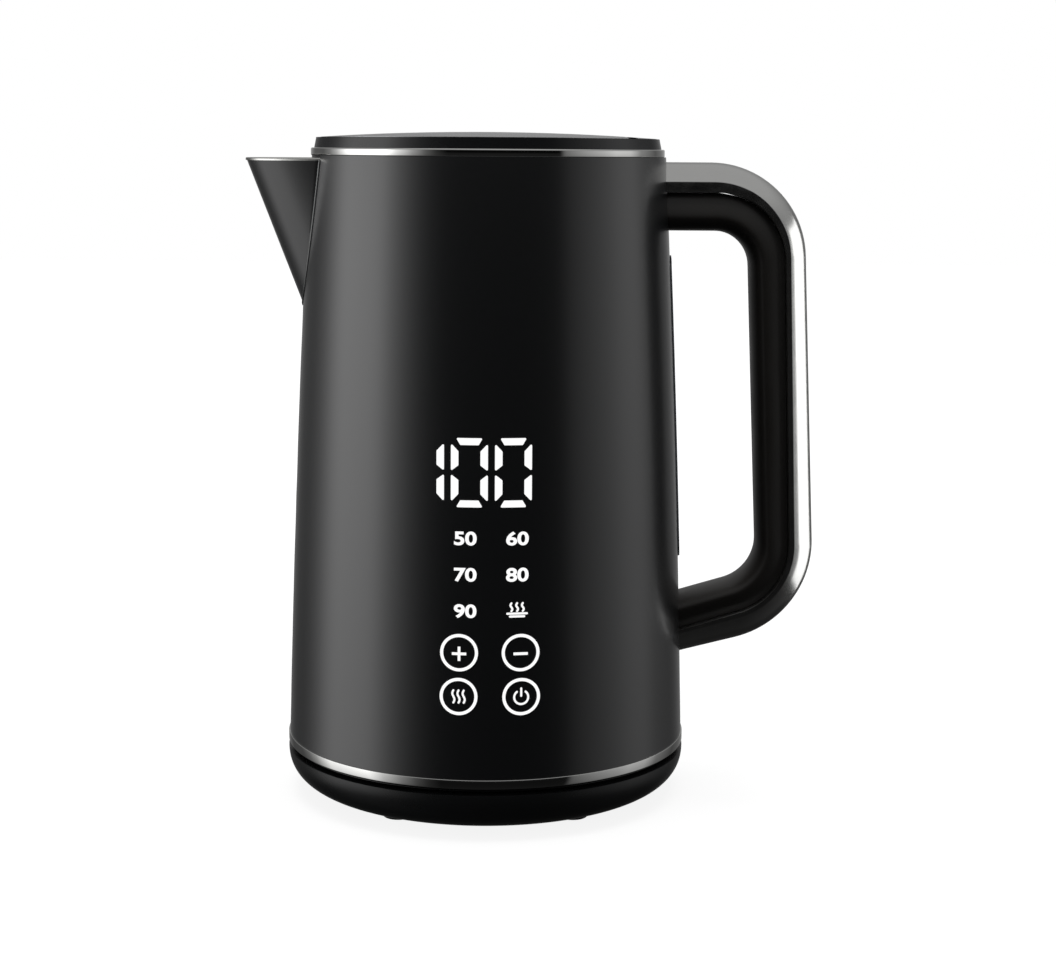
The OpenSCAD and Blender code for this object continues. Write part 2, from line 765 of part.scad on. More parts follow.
module handle_screws() {
    color("#a8abb0") for (y = [-handle_screw_y, handle_screw_y]) {
        translate([0, y, screw_top_z]) {
            rod_x(1.8, 66, 83);
            rod_x(3.2, 64.4, 66.4);
        }
        translate([0, y, screw_low_z]) {
            rod_x(1.8, 72, 90);
            rod_x(3.2, 71, 73);
        }
    }
}

// ---------------------------------------------------------------- water gauge

module water_window() {
    color("#1a1b1d") intersection() {
        body_layer(-shell_t, 0.7, 80, 230);
        window_cut(0, 60, 90);
    }
}

module window_gasket() {
    color("#2c2c2c") difference() {
        intersection() {
            body_layer(-shell_t - 1, -shell_t, 80, 230);
            window_cut(2.2, 60, 90);
        }
        window_cut(-1.2, 50, 90);
    }
}

module sight_tube() {
    color("#dfe6e8") {
        difference() {
            union() {
                translate([tube_x, 0, 0]) rod(3.2, 100, 210);
                for (z = [104, 206]) translate([0, 0, z]) rod_x(2.4, 58.6, tube_x);
            }
            translate([tube_x, 0, 0]) rod(2.2, 101, 209);
            for (z = [104, 206]) translate([0, 0, z]) rod_x(1.5, 58, tube_x);
        }
    }
}

module tube_seals() {
    color("#b5402c") for (z = [104, 206]) translate([0, 0, z]) difference() {
        union() {
            rod_x(3.4, 60.6, 62.6);
            rod_x(4.4, 59.6, 60.4);
        }
        rod_x(2.4, 50, 70);
    }
}

// ---------------------------------------------------------------- display and keys

board_y = -70.2;
digits_x = -1;
digits_z = 138.3;
keys = [[-10, 71.9], [12.8, 71.9], [-10, 55.5], [12.8, 55.5]];
marks_x = [-7.75, 11.3];
marks_z = [114.3, 100.9, 87.2];

module control_board() {
    color("#1f5a36") block([-18, board_y, 48], [18, board_y + 1.6, 156]);
}

module display_module() {
    color("#e8e8e4") intersection() {
        block([-20, -76, digits_z - 15], [18, board_y, digits_z + 15]);
        body_solid(-shell_t, 110, 160);
    }
}

module touch_film() {
    color("#c8782a") intersection() {
        body_layer(-shell_t - 0.3, -shell_t, 46, 121);
        block([-20, -90, 46], [22, -60, 121]);
    }
}

module touch_springs() {
    color("#c9a24a") intersection() {
        for (k = keys) translate([k[0], 0, k[1]]) rod_y(2.6, -80, board_y);
        body_solid(-shell_t - 0.35, 40, 90);
    }
}

// Seven-segment figures. Each segment is a bar with mitred ends
seg_w = 0.112;
function on_segments(d) = [[0, 1, 2, 3, 4, 5], [1, 2], [0, 1, 6, 4, 3], [0, 1, 2, 3, 6], [5, 6, 1, 2],
    [0, 5, 6, 2, 3], [0, 5, 4, 3, 2, 6], [0, 1, 2], [0, 1, 2, 3, 4, 5, 6], [0, 1, 2, 3, 5, 6]][d];

module seven_segment(d, w, h, t, gap) {
    long = h / 2 - gap;
    bar_v = [[0, gap / 2], [t, gap / 2 + t * 0.7], [t, long - t * 0.7], [0, long]];
    bar_h = [[gap * 1.4, 0], [w - gap * 1.4, 0], [w - gap * 1.4 - t, t], [gap * 1.4 + t, t]];
    for (s = on_segments(d)) {
        if (s == 5) translate([0, h / 2]) polygon(bar_v);
        if (s == 4) translate([0, h / 2]) mirror([0, 1]) polygon(bar_v);
        if (s == 1) translate([w, h / 2]) mirror([1, 0]) polygon(bar_v);
        if (s == 2) translate([w, h / 2]) mirror([1, 0]) mirror([0, 1]) polygon(bar_v);
        if (s == 3) polygon(bar_h);
        if (s == 0) translate([0, h]) mirror([0, 1]) polygon(bar_h);
    }
}

// A flat pattern in x and z, laid on the front of the body as a thin layer
module on_front(z0, z1) {
    intersection() {
        body_layer(0, 0.2, z0, z1);
        translate([0, -40, 0]) rotate([90, 0, 0]) linear_extrude(60) children();
    }
}

module display_digits() {
    w = 0.53 * digit_h;
    t = seg_w * digit_h;
    color("#f4f6f8") on_front(body_line[5][0], body_line[7][0])
        translate([digits_x, digits_z - digit_h / 2]) {
        translate([-17.6 - 0.53 * digit_h + t, 0]) seven_segment(1, w, digit_h, t, 1);
        translate([-12.2, 0]) seven_segment(0, w, digit_h, t, 1);
        translate([4, 0]) seven_segment(0, w, digit_h, t, 1);
    }
}

// A small figure of plain bars that run into each other, 5 mm high
module small_figure(d, w = 3.8, h = 5.1, t = 1.1) {
    bars = [[0, h - t, w, t], [w - t, h / 2 - t / 2, t, h / 2 + t / 2], [w - t, 0, t, h / 2 + t / 2],
        [0, 0, w, t], [0, 0, t, h / 2 + t / 2], [0, h / 2 - t / 2, t, h / 2 + t / 2],
        [0, h / 2 - t / 2, w, t]];
    translate([-w / 2, -h / 2]) for (s = on_segments(d))
        translate([bars[s][0], bars[s][1]]) square([bars[s][2], bars[s][3]]);
}

module temperature_marks() {
    color("#f4f6f8") on_front(body_line[3][0], body_line[5][0]) {
        for (i = [0:4]) translate([marks_x[i % 2], marks_z[floor(i / 2)]])
            for (f = [[-2.15, 5 + i], [2.15, 0]]) translate([f[0], 0]) small_figure(f[1]);
        translate([marks_x[1], marks_z[2]]) for (x = [-2.4, 0, 2.4]) translate([x, 0]) {
            translate([-0.4, -2.4]) square([0.8, 3.2]);
            translate([0, 1.8]) circle(r = 0.7);
        }
    }
}

module key_marks() {
    color("#f4f6f8") on_front(body_line[1][0], body_line[3][0]) {
        for (k = keys) translate(k) difference() {
            circle(r = key_r);
            circle(r = key_r - 1.25);
        }
        for (k = [keys[0], keys[1]]) translate(k) square([5.3, 1.2], center = true);
        translate(keys[0]) square([1.2, 5.3], center = true);
        translate(keys[2]) for (x = [-2, 0, 2]) translate([x - 0.35, -2.2]) square([0.7, 4.4]);
        translate(keys[3]) {
            difference() {
                circle(r = 3);
                circle(r = 2.1);
                translate([-0.9, 0]) square([1.8, 4]);
            }
            translate([-0.4, 0]) square([0.8, 3.4]);
        }
    }
}

// ---------------------------------------------------------------- power electronics

module power_board() {
    color("#1f5a36") block([29, -17, 27], [56, 17, 28.6]);
}

module relay() {
    color("#23252b") {
        block([40, 2, 28.6], [55, 16, 34.8]);
        block([40, -16, 28.6], [50, -2, 33.6]);
    }
}

module internal_leads() {
    color("#9a2b22") {
        lead([[15.2, 0, 39.9], [26, 0, 39.9], [29, 0, 33], [33, 0, 30.2]], 1);
        lead([[-15.2, 0, 39.9], [-14, 14, 39.9], [6, 27, 39], [24, 22, 33], [33, 12, 30.2]], 1);
        lead([[0, -32.6, 40.9], [22, -42, 37], [34.5, -59.8, 36], [16, -69.4, 46.6]], 1);
    }
}

base_feet();
base_lower_plate();
base_upper_shell();
base_socket();
contact_rings();
cord_gland();
cord_clamp();
base_screws();
base_leads();
connector_shutter();
bottom_cover();
bottom_trim_ring();
bottom_screws();
kettle_connector();
connector_prongs();
chassis_ring();
outer_shell();
inner_pot();
heating_plate();
heating_element();
element_terminals();
boil_dry_cutout();
temperature_sensor();
sensor_seal();
spout();
filter_frame();
filter_mesh();
top_collar();
top_trim_ring();
hinge_cover();
hinge_pin();
handle_grip();
handle_band();
handle_brackets();
handle_screws();
water_window();
window_gasket();
sight_tube();
tube_seals();
control_board();
display_module();
touch_film();
touch_springs();
display_digits();
temperature_marks();
key_marks();
power_board();
relay();
internal_leads();
lid_body();
lid_top_plate();
lid_inner_plate();
lid_gasket();
lid_screws();
lid_spring();
lid_button();
button_spring();
latch_bolt();
latch_spring();
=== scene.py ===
import json
import math

import bmesh
import bpy
from mathutils import Matrix, Vector

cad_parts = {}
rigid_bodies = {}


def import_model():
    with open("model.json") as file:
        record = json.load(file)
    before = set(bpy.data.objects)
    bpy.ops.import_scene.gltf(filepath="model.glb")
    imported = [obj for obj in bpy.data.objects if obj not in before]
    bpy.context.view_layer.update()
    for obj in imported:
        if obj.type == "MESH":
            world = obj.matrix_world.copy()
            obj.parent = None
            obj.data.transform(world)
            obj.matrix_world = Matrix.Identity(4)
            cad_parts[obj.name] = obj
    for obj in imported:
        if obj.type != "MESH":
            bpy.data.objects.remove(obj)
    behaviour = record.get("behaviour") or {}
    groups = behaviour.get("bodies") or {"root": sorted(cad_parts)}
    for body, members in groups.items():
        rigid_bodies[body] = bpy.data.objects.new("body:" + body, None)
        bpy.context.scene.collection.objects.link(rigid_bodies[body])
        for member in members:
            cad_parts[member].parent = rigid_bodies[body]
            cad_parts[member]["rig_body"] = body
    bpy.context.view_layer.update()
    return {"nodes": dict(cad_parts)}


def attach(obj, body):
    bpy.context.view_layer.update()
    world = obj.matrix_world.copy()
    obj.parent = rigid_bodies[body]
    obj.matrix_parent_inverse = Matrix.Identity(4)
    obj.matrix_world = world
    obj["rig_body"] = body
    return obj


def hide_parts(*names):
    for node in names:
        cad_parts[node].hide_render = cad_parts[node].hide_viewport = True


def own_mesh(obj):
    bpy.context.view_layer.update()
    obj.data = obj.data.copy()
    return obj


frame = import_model()
nodes = frame["nodes"]
scene = bpy.context.scene


# ---------------------------------------------------------------- camera
# A long lens at the height of the lid, looking down a little at the display side.
# The upright edges of the jug stay nearly parallel from this far away.
camera_place = Vector((0, -0.8421, 0.25479))
yaw, pitch, roll = (math.radians(a) for a in (1.119, 8.808, 0.401))       # to the right, down, clockwise
forward = Vector((math.sin(yaw) * math.cos(pitch), math.cos(yaw) * math.cos(pitch), -math.sin(pitch)))
level = Vector((math.cos(yaw), -math.sin(yaw), 0))
right = math.cos(roll) * level + math.sin(roll) * level.cross(forward)
camera_data = bpy.data.cameras.new("camera")
camera_data.sensor_width = 36
camera_data.lens = 72.77
camera = bpy.data.objects.new("camera", camera_data)
camera.matrix_world = Matrix.Translation(camera_place) @ Matrix(
    (right, right.cross(forward), -forward)).transposed().to_4x4()
scene.collection.objects.link(camera)
scene.camera = camera


# ---------------------------------------------------------------- studio
# A white sweep with a dark card in front of the jug and tall soft panels at both sides,
# as glossy black ware is usually lit. The bright and dark bands on the metal come from these.
def linear(text):
    """An sRGB hex colour as the linear values that shaders take."""
    parts = [int(text[i:i + 2], 16) / 255 for i in (0, 2, 4)]
    return [c / 12.92 if c <= 0.04045 else ((c + 0.055) / 1.055) ** 2.4 for c in parts] + [1.0]


def add(tree, kind, inputs=None, **settings):
    """Adds a node; an input given as a socket is linked, any other is set."""
    made = tree.nodes.new(kind)
    for name, value in settings.items():
        setattr(made, name, value)
    for name, value in (inputs or {}).items():
        if isinstance(value, bpy.types.NodeSocket):
            tree.links.new(value, made.inputs[name])
        else:
            made.inputs[name].default_value = value
    return made


# Brightness of the studio by compass direction, in degrees from the camera's side towards +X
bands = [(-180, 0.60), (-164, 0.26), (-150, 0.10), (-132, 0.10), (-122, 0.22), (-114, 0.50),
         (-107, 1.05), (-100, 1.7), (-70, 2.0), (-60, 0.96), (-49, 0.37), (-40, 0.11), (-33, 0.03),
         (-26, 0.002), (47, 0.002), (50, 0.17), (56, 0.25), (70, 0.42), (80, 0.53), (90, 0.70),
         (104, 0.66), (116, 0.26), (138, 0.10), (152, 0.18), (164, 0.34), (180, 0.60)]
world = bpy.data.worlds.new("studio")
world.use_nodes = True
sky = world.node_tree
sky.nodes.clear()
way = add(sky, "ShaderNodeSeparateXYZ", {0: add(sky, "ShaderNodeTexCoord").outputs["Generated"]})
toward = add(sky, "ShaderNodeMath", {0: way.outputs["Y"], 1: -1.0}, operation="MULTIPLY")
compass = add(sky, "ShaderNodeMath", {0: way.outputs["X"], 1: toward.outputs[0]}, operation="ARCTAN2")
share = add(sky, "ShaderNodeMapRange", {"Value": compass.outputs[0], "From Min": -math.pi,
                                        "From Max": math.pi})
panels = add(sky, "ShaderNodeValToRGB", {"Fac": share.outputs[0]})
ramp = panels.color_ramp
ends = {-180: 0, 180: -1}
for angle, value in bands:
    at = (angle + 180) / 360
    stop = ramp.elements[ends[angle]] if angle in ends else ramp.elements.new(at)
    stop.position = at
    stop.color = (value, value, value, 1)
# Above, the panels give way to an even ceiling; below, to a dim floor
height = add(sky, "ShaderNodeValToRGB", {"Fac": add(sky, "ShaderNodeMapRange", {
    "Value": way.outputs["Z"], "From Min": -1.0, "From Max": 1.0}).outputs[0]})
for i, (z, value) in enumerate([(-1, 0.0), (-0.55, 0.04), (-0.36, 0.48), (-0.2, 0.65), (0.04, 1.0),
                               (0.14, 1.0), (0.34, 0.0)]):
    at = (z + 1) / 2
    stop = height.color_ramp.elements[i] if i < 2 else height.color_ramp.elements.new(at)
    stop.position = at
    stop.color = (value, value, value, 1)
above = add(sky, "ShaderNodeMapRange", {"Value": way.outputs["Z"], "From Min": -0.2, "From Max": 0.7,
                                        "To Min": 0.012, "To Max": 0.40})
studio = add(sky, "ShaderNodeMix", {"Factor": height.outputs["Color"], "A": above.outputs[0],
                                    "B": panels.outputs["Color"]}, data_type="FLOAT")
seen = add(sky, "ShaderNodeLightPath").outputs["Is Camera Ray"]
light = add(sky, "ShaderNodeBackground", {"Color": studio.outputs[0]})
paper = add(sky, "ShaderNodeBackground", {"Color": (1, 1, 1, 1)})
mixed = add(sky, "ShaderNodeMixShader", {0: seen, 1: light.outputs[0], 2: paper.outputs[0]})
add(sky, "ShaderNodeOutputWorld", {"Surface": mixed.outputs[0]})
scene.world = world
scene.view_settings.view_transform = "Standard"

floor_mesh = bpy.data.meshes.new("floor")
floor_mesh.from_pydata([(-4, -4, 0), (4, -4, 0), (4, 4, 0), (-4, 4, 0)], [], [(0, 1, 2, 3)])
floor = bpy.data.objects.new("floor", floor_mesh)
scene.collection.objects.link(floor)
floor.visible_glossy = floor.visible_diffuse = floor.visible_shadow = False
paint = bpy.data.materials.new("white_sweep")
paint.use_nodes = True
tree = paint.node_tree
tree.nodes.clear()
matt = add(tree, "ShaderNodeBsdfDiffuse", {"Color": (0.2, 0.2, 0.2, 1)})
# The white gets stronger away from the jug, so that floor and backdrop meet without a line
away = add(tree, "ShaderNodeVectorMath", {0: add(tree, "ShaderNodeTexCoord").outputs["Object"]},
           operation="LENGTH")
fade = add(tree, "ShaderNodeMapRange", {"Value": away.outputs["Value"], "From Min": 0.2, "From Max": 1.0,
                                        "To Min": 0.88, "To Max": 1.0})
glow = add(tree, "ShaderNodeEmission", {"Color": (1, 1, 1, 1), "Strength": fade.outputs[0]})
both = add(tree, "ShaderNodeAddShader", {0: matt.outputs[0], 1: glow.outputs[0]})
under = add(tree, "ShaderNodeNewGeometry").outputs["Backfacing"]
shown = add(tree, "ShaderNodeMixShader", {0: under, 1: both.outputs[0],
                                          2: add(tree, "ShaderNodeBsdfTransparent").outputs[0]})
add(tree, "ShaderNodeOutputMaterial", {"Surface": shown.outputs[0]})
floor_mesh.materials.append(paint)

overhead = bpy.data.lights.new("overhead", "AREA")
overhead.shape = "RECTANGLE"
overhead.size, overhead.size_y = 1.2, 1.2
overhead.energy = 20
lamp = bpy.data.objects.new("overhead", overhead)
lamp.location = (0, 0.1, 1.6)
lamp.visible_glossy = False
scene.collection.objects.link(lamp)


# ---------------------------------------------------------------- feet of the power base
# Four small pads of black silicone rubber, pressed into seats in the underside.
# They are moulded, so their edges are soft and their skin is dull.
def blank(name):
    """A new finish: the material, its node tree, its shader and the piece's own coordinates."""
    made = bpy.data.materials.new(name)
    made.use_nodes = True
    tree = made.node_tree
    return made, tree, tree.nodes["Principled BSDF"], add(tree, "ShaderNodeTexCoord").outputs["Object"]


def shades(colour, *strengths):
    """An sRGB hex colour at each of several strengths, as linear values."""
    return [[min(1, strength * c) for c in linear(colour)[:3]] + [1] for strength in strengths]


def rubber(name, colour, rough=0.75):
    """Moulded silicone rubber: even colour, a dull skin with a very fine bloom."""
    made, t, shader, place = blank(name)
    bloom = add(t, "ShaderNodeTexNoise", {"Vector": place, "Scale": 900.0, "Detail": 3.0})
    tone = add(t, "ShaderNodeMapRange", {"Value": bloom.outputs["Fac"], "To Min": rough - 0.08,
                                         "To Max": rough + 0.08})
    t.links.new(tone.outputs[0], shader.inputs["Roughness"])
    dusty = [min(1, 1.5 * c + 0.004) for c in linear(colour)[:3]] + [1]
    dust = add(t, "ShaderNodeMix", {"Factor": bloom.outputs["Fac"], "A": linear(colour), "B": dusty},
               data_type="RGBA")
    t.links.new(dust.outputs["Result"], shader.inputs["Base Color"])
    bump = add(t, "ShaderNodeBump", {"Height": bloom.outputs["Fac"], "Strength": 0.15, "Distance": 0.0001})
    t.links.new(bump.outputs[0], shader.inputs["Normal"])
    shader.inputs["IOR"].default_value = 1.43
    return made


def finished(name, mesh, material, body, *replaced, sharp=35):
    """Makes a mesh a piece of the jug: smooth apart from real corners, on its body."""
    made = bpy.data.objects.new(name, mesh)
    scene.collection.objects.link(made)
    mesh.shade_smooth()
    mesh.set_sharp_from_angle(angle=math.radians(sharp))
    mesh.materials.clear()
    mesh.materials.append(material)
    for face in mesh.polygons:
        face.material_index = 0
    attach(made, body)
    if replaced:
        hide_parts(*replaced)
    return made


def rounded(points, steps=5):
    """A closed outline of (r, z, radius) corners in mm as points, each corner an arc of its radius."""
    line = []
    for i, corner in enumerate(points):
        here = Vector(corner[:2])
        radius = corner[2] if len(corner) > 2 else 0
        if not radius:
            line.append(here)
            continue
        back = (Vector(points[i - 1][:2]) - here).normalized()
        on = (Vector(points[(i + 1) % len(points)][:2]) - here).normalized()
        half = back.angle(on) / 2
        centre = here + (back + on).normalized() * radius / math.sin(half)
        start = here + back * radius / math.tan(half)
        end = here + on * radius / math.tan(half)
        a0, a1 = (math.atan2(*(p - centre).yx) for p in (start, end))
        turn = (a1 - a0 + math.pi) % (2 * math.pi) - math.pi
        for k in range(steps + 1):
            a = a0 + turn * k / steps
            line.append(centre + radius * Vector((math.cos(a), math.sin(a))))
    return line


def turned(name, outline, around=160):
    """A solid of revolution about the jug's axis, from a closed outline of (r, z) in mm."""
    shape = bmesh.new()
    rings = []
    for r, z in outline:
        if r < 1e-6:
            rings.append([shape.verts.new((0, 0, z / 1000))])
        else:
            rings.append([shape.verts.new((r / 1000 * math.cos(a), r / 1000 * math.sin(a), z / 1000))
                          for a in (2 * math.pi * k / around for k in range(around))])
    for i, ring in enumerate(rings):
        after = rings[(i + 1) % len(rings)]
        for k in range(around):
            j = (k + 1) % around
            corners = [ring[k % len(ring)], ring[j % len(ring)],
                       after[j % len(after)], after[k % len(after)]]
            corners = [v for n, v in enumerate(corners) if v not in corners[:n]]
            if len(corners) > 2:
                shape.faces.new(corners)
    bmesh.ops.recalc_face_normals(shape, faces=shape.faces)
    mesh = bpy.data.meshes.new(name)
    shape.to_mesh(mesh)
    shape.free()
    return mesh


def spread(name, mesh, places, material, body, *replaced):
    """Puts one mesh at each (x, y, z, turn) of places with Geometry Nodes, as one piece."""
    master = bpy.data.objects.new(name + "_master", mesh)
    points = bpy.data.meshes.new(name)
    points.from_pydata([p[:3] for p in places], [], [])
    turn = points.attributes.new("turn", "FLOAT", "POINT")
    turn.data.foreach_set("value", [p[3] for p in places])
    carrier = bpy.data.objects.new(name, points)
    scene.collection.objects.link(carrier)
    group = bpy.data.node_groups.new(name, "GeometryNodeTree")
    group.interface.new_socket("Points", in_out="INPUT", socket_type="NodeSocketGeometry")
    part = group.interface.new_socket("Part", in_out="INPUT", socket_type="NodeSocketObject")
    group.interface.new_socket("Result", in_out="OUTPUT", socket_type="NodeSocketGeometry")
    given = add(group, "NodeGroupInput")
    info = add(group, "GeometryNodeObjectInfo", {"Object": given.outputs["Part"]})
    angle = add(group, "GeometryNodeInputNamedAttribute", {"Name": "turn"})
    spin = add(group, "ShaderNodeCombineXYZ", {"Z": angle.outputs[0]})
    copies = add(group, "GeometryNodeInstanceOnPoints", {"Points": given.outputs["Points"],
                 "Instance": info.outputs["Geometry"], "Rotation": spin.outputs[0]})
    real = add(group, "GeometryNodeRealizeInstances", {0: copies.outputs[0]})
    coloured = add(group, "GeometryNodeSetMaterial", {0: real.outputs[0], "Material": material})
    add(group, "NodeGroupOutput", {0: coloured.outputs[0]})
    modifier = carrier.modifiers.new("spread", "NODES")
    modifier.node_group = group
    modifier[part.identifier] = master
    result = bpy.data.meshes.new_from_object(carrier.evaluated_get(bpy.context.evaluated_depsgraph_get()))
    bpy.data.objects.remove(carrier)
    bpy.data.objects.remove(master)
    return finished(name, result, material, body, *replaced)


foot_rubber = rubber("moulded_black_rubber", "1d1d1e")
foot = turned("foot", rounded([(0, 0.35), (3.6, 0.35, 0.3), (4.2, 0, 0.3), (6, 0, 0.7), (6, 2.6, 0.2),
                               (0, 2.6)]), 48)
foot_circle = 0.057
feet_at = [(foot_circle * math.sin(a), -foot_circle * math.cos(a), 0, a)
           for a in map(math.radians, (36, 144, 216, 324))]
spread("feet", foot, feet_at, foot_rubber, "base", "base_feet")


# ---------------------------------------------------------------- power base
# Two mouldings of black polypropylene, a bowl and the plate that closes it underneath.
# The bowl's side is one smooth curve from the rim down to the parting line.
def moulded(name, colour, rough=0.36, grain_mm=0.6, depth=0.1):
    """Injection-moulded plastic: a fine spark-eroded grain with slow changes in its sheen."""
    made, t, shader, place = blank(name)
    grain = add(t, "ShaderNodeTexNoise", {"Vector": place, "Scale": 1000 / grain_mm, "Detail": 2.0})
    flow = add(t, "ShaderNodeTexNoise", {"Vector": place, "Scale": 45.0, "Detail": 3.0})
    sheen = add(t, "ShaderNodeMapRange", {"Value": flow.outputs["Fac"], "From Min": 0.3, "From Max": 0.7,
                                          "To Min": rough - 0.05, "To Max": rough + 0.05})
    t.links.new(sheen.outputs[0], shader.inputs["Roughness"])
    dark, light = shades(colour, 0.8, 1.2)
    shade = add(t, "ShaderNodeMix", {"Factor": grain.outputs["Fac"], "A": dark, "B": light},
                data_type="RGBA")
    t.links.new(shade.outputs["Result"], shader.inputs["Base Color"])
    bump = add(t, "ShaderNodeBump", {"Height": grain.outputs["Fac"], "Strength": depth, "Distance": 0.00005})
    t.links.new(bump.outputs[0], shader.inputs["Normal"])
    shader.inputs["IOR"].default_value = 1.5
    return made


def base_side(a0, a1, steps, inset=0.0, foot_r=59.0, rim_r=79.4, power=2 / 2.26):
    """The bowl's side in mm, a superellipse from its rim down to its flat underside."""
    line = []
    for k in range(steps + 1):
        a = math.radians(a0 + (a1 - a0) * k / steps)
        line.append((foot_r + (rim_r - inset - foot_r) * max(0, math.cos(a)) ** power,
                     18 - (16.2 - inset) * math.sin(a) ** power))
    return line


base_plastic = moulded("black_polypropylene", "191a1b", 0.3)
wall = 2.4                        # mm, the thickness of the bowl
split_angle = 64.5
split_r, split_z = base_side(split_angle, split_angle, 1)[0]
bowl = rounded([(split_r - wall, split_z + 0.15), (split_r - 0.25, split_z + 0.15)])
bowl += [Vector(p) for p in base_side(split_angle - 1, 0, 40)]
# Over the rim's low lip, across the top with its shallow ring, and down into the socket's hole
bowl += rounded([(79.4, 19.85, 0.4), (77.7, 19.85, 0.2), (77.7, 19.4), (30, 19.4), (28.5, 19.1, 0.4),
                 (19.8, 19.1), (19.8, 17.0)])
bowl += [Vector((76.6, 17.0))] + [Vector(p) for p in base_side(4, split_angle - 1, 20, inset=wall)]
finished("base_bowl", turned("base_bowl", bowl, 224), base_plastic, "base", "base_upper_shell")
plate = [Vector((0, 1.8))] + [Vector(p) for p in base_side(90, split_angle, 16)]
plate += [Vector((split_r - 2.6, split_z)), Vector((66, 4.4)), Vector((0, 4.4))]
finished("base_plate", turned("base_plate", plate, 224), base_plastic, "base", "base_lower_plate")


def dressed(name, material, piece=None):
    """A CAD solid's own shape with its loose triangles joined, so that its curves shade smoothly."""
    mesh = nodes[name].data.copy()
    mesh.name = piece or name + "_part"
    joined = bmesh.new()
    joined.from_mesh(mesh)
    bmesh.ops.remove_doubles(joined, verts=joined.verts, dist=2e-6)
    joined.to_mesh(mesh)
    joined.free()
    return finished(piece or name + "_part", mesh, material, nodes[name]["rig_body"], name, sharp=30)


socket_plastic = moulded("black_nylon", "1a1b1c", 0.42)
dressed("base_socket", socket_plastic)
dressed("cord_gland", foot_rubber)


# ---------------------------------------------------------------- bright trim rings
# Two rings of chromium-plated brass, one under the rim of the lid and one at the foot of the jug.
# Both are turned with rounded edges and polished, so they mirror the panels of the studio.
def polished(name, colour, rough=0.07):
    """Bright plated metal: a mirror with faint polishing haze."""
    made, t, shader, place = blank(name)
    haze = add(t, "ShaderNodeTexNoise", {"Vector": place, "Scale": 160.0, "Detail": 4.0})
    tone = add(t, "ShaderNodeMapRange", {"Value": haze.outputs["Fac"], "From Min": 0.3, "From Max": 0.7,
                                         "To Min": rough * 0.8, "To Max": rough * 1.25})
    t.links.new(tone.outputs[0], shader.inputs["Roughness"])
    dark, light = shades(colour, 0.95, 1)
    wipe = add(t, "ShaderNodeMix", {"Factor": haze.outputs["Fac"], "A": dark, "B": light}, data_type="RGBA")
    t.links.new(wipe.outputs["Result"], shader.inputs["Base Color"])
    shader.inputs["Metallic"].default_value = 1.0
    return made


chrome = polished("chromium_plate", "e6e6e4")
top_ring = rounded([(67.46, 252), (68.75, 252, 0.35), (68.75, 254.95, 0.6), (67.46, 254.95)])
finished("top_ring", turned("top_ring", top_ring, 256), chrome, "kettle", "top_trim_ring")
low_ring = rounded([(77.3, 20.55), (79.4, 20.55, 0.2), (79.4, 24, 0.22), (77.3, 24)])
finished("low_ring", turned("low_ring", low_ring, 256), chrome, "kettle", "bottom_trim_ring")


# ---------------------------------------------------------------- outer shell
# Drawn steel sheet with a satin black lacquer, narrower towards the lid and a little barrelled.
# The lacquer is sprayed, so its gloss has a very slight ripple.
def body_r(z):
    """The shell's outer radius in mm at a height in mm."""
    t = (z - 24) / 228
    return 78.9 - 9.6 * t + 3.2 * t * (1 - t)


def lacquered(name, colour, rough, coat_rough):
    """Sprayed black lacquer on steel under a clear coat, with a faint ripple of some 8 mm."""
    made, t, shader, place = blank(name)
    ripple = add(t, "ShaderNodeTexNoise", {"Vector": place, "Scale": 125.0, "Detail": 1.0})
    speck = add(t, "ShaderNodeTexNoise", {"Vector": place, "Scale": 2600.0, "Detail": 1.0})
    dark, light = shades(colour, 0.75, 1.25)
    fleck = add(t, "ShaderNodeMix", {"Factor": speck.outputs["Fac"], "A": dark, "B": light},
                data_type="RGBA")
    t.links.new(fleck.outputs["Result"], shader.inputs["Base Color"])
    tone = add(t, "ShaderNodeMapRange", {"Value": speck.outputs["Fac"], "From Min": 0.3, "From Max": 0.7,
                                         "To Min": rough - 0.03, "To Max": rough + 0.03})
    t.links.new(tone.outputs[0], shader.inputs["Roughness"])
    bump = add(t, "ShaderNodeBump", {"Height": ripple.outputs["Fac"], "Strength": 0.06, "Distance": 0.0002})
    t.links.new(bump.outputs[0], shader.inputs["Normal"])
    shader.inputs["IOR"].default_value = 1.52
    shader.inputs["Coat Weight"].default_value = 1.0
    shader.inputs["Coat Roughness"].default_value = coat_rough
    shader.inputs["Coat IOR"].default_value = 1.52
    return made


lacquer = lacquered("satin_black_lacquer", "17181a", 0.34, 0.22)
shell = dressed("outer_shell", lacquer, piece="shell")


def follow_form(piece, form, tolerance=0.9):
    """Gives faces that lie along a known form its own normals, so that reflections run true."""
    mesh = piece.data
    normals = [None] * len(mesh.loops)
    for face in mesh.polygons:
        for k in face.loop_indices:
            ideal = form(mesh.vertices[mesh.loops[k].vertex_index].co)
            along_it = ideal.dot(face.normal)
            normals[k] = ideal if along_it > tolerance else -ideal if along_it < -tolerance else face.normal
    mesh.normals_split_custom_set([n.normalized() for n in normals])


def body_normal(p):
    """The outward normal of the barrelled body at a point."""
    t = (p.z * 1000 - 24) / 228
    slope = (-9.6 + 3.2 * (1 - 2 * t)) / 228
    return Vector((p.x, p.y, -slope * math.hypot(p.x, p.y))).normalized()


follow_form(shell, body_normal)


# ---------------------------------------------------------------- spout
# A folded V of the same lacquered steel, welded over a cut-out in the shell. Every level
# section is one blunt curve, carried down a raked nose line until it runs out in the body.
def nose_x(z):
    """Where the nose of the spout is, in mm, at a height in mm."""
    return -94.2 + 0.383 * (251 - z)


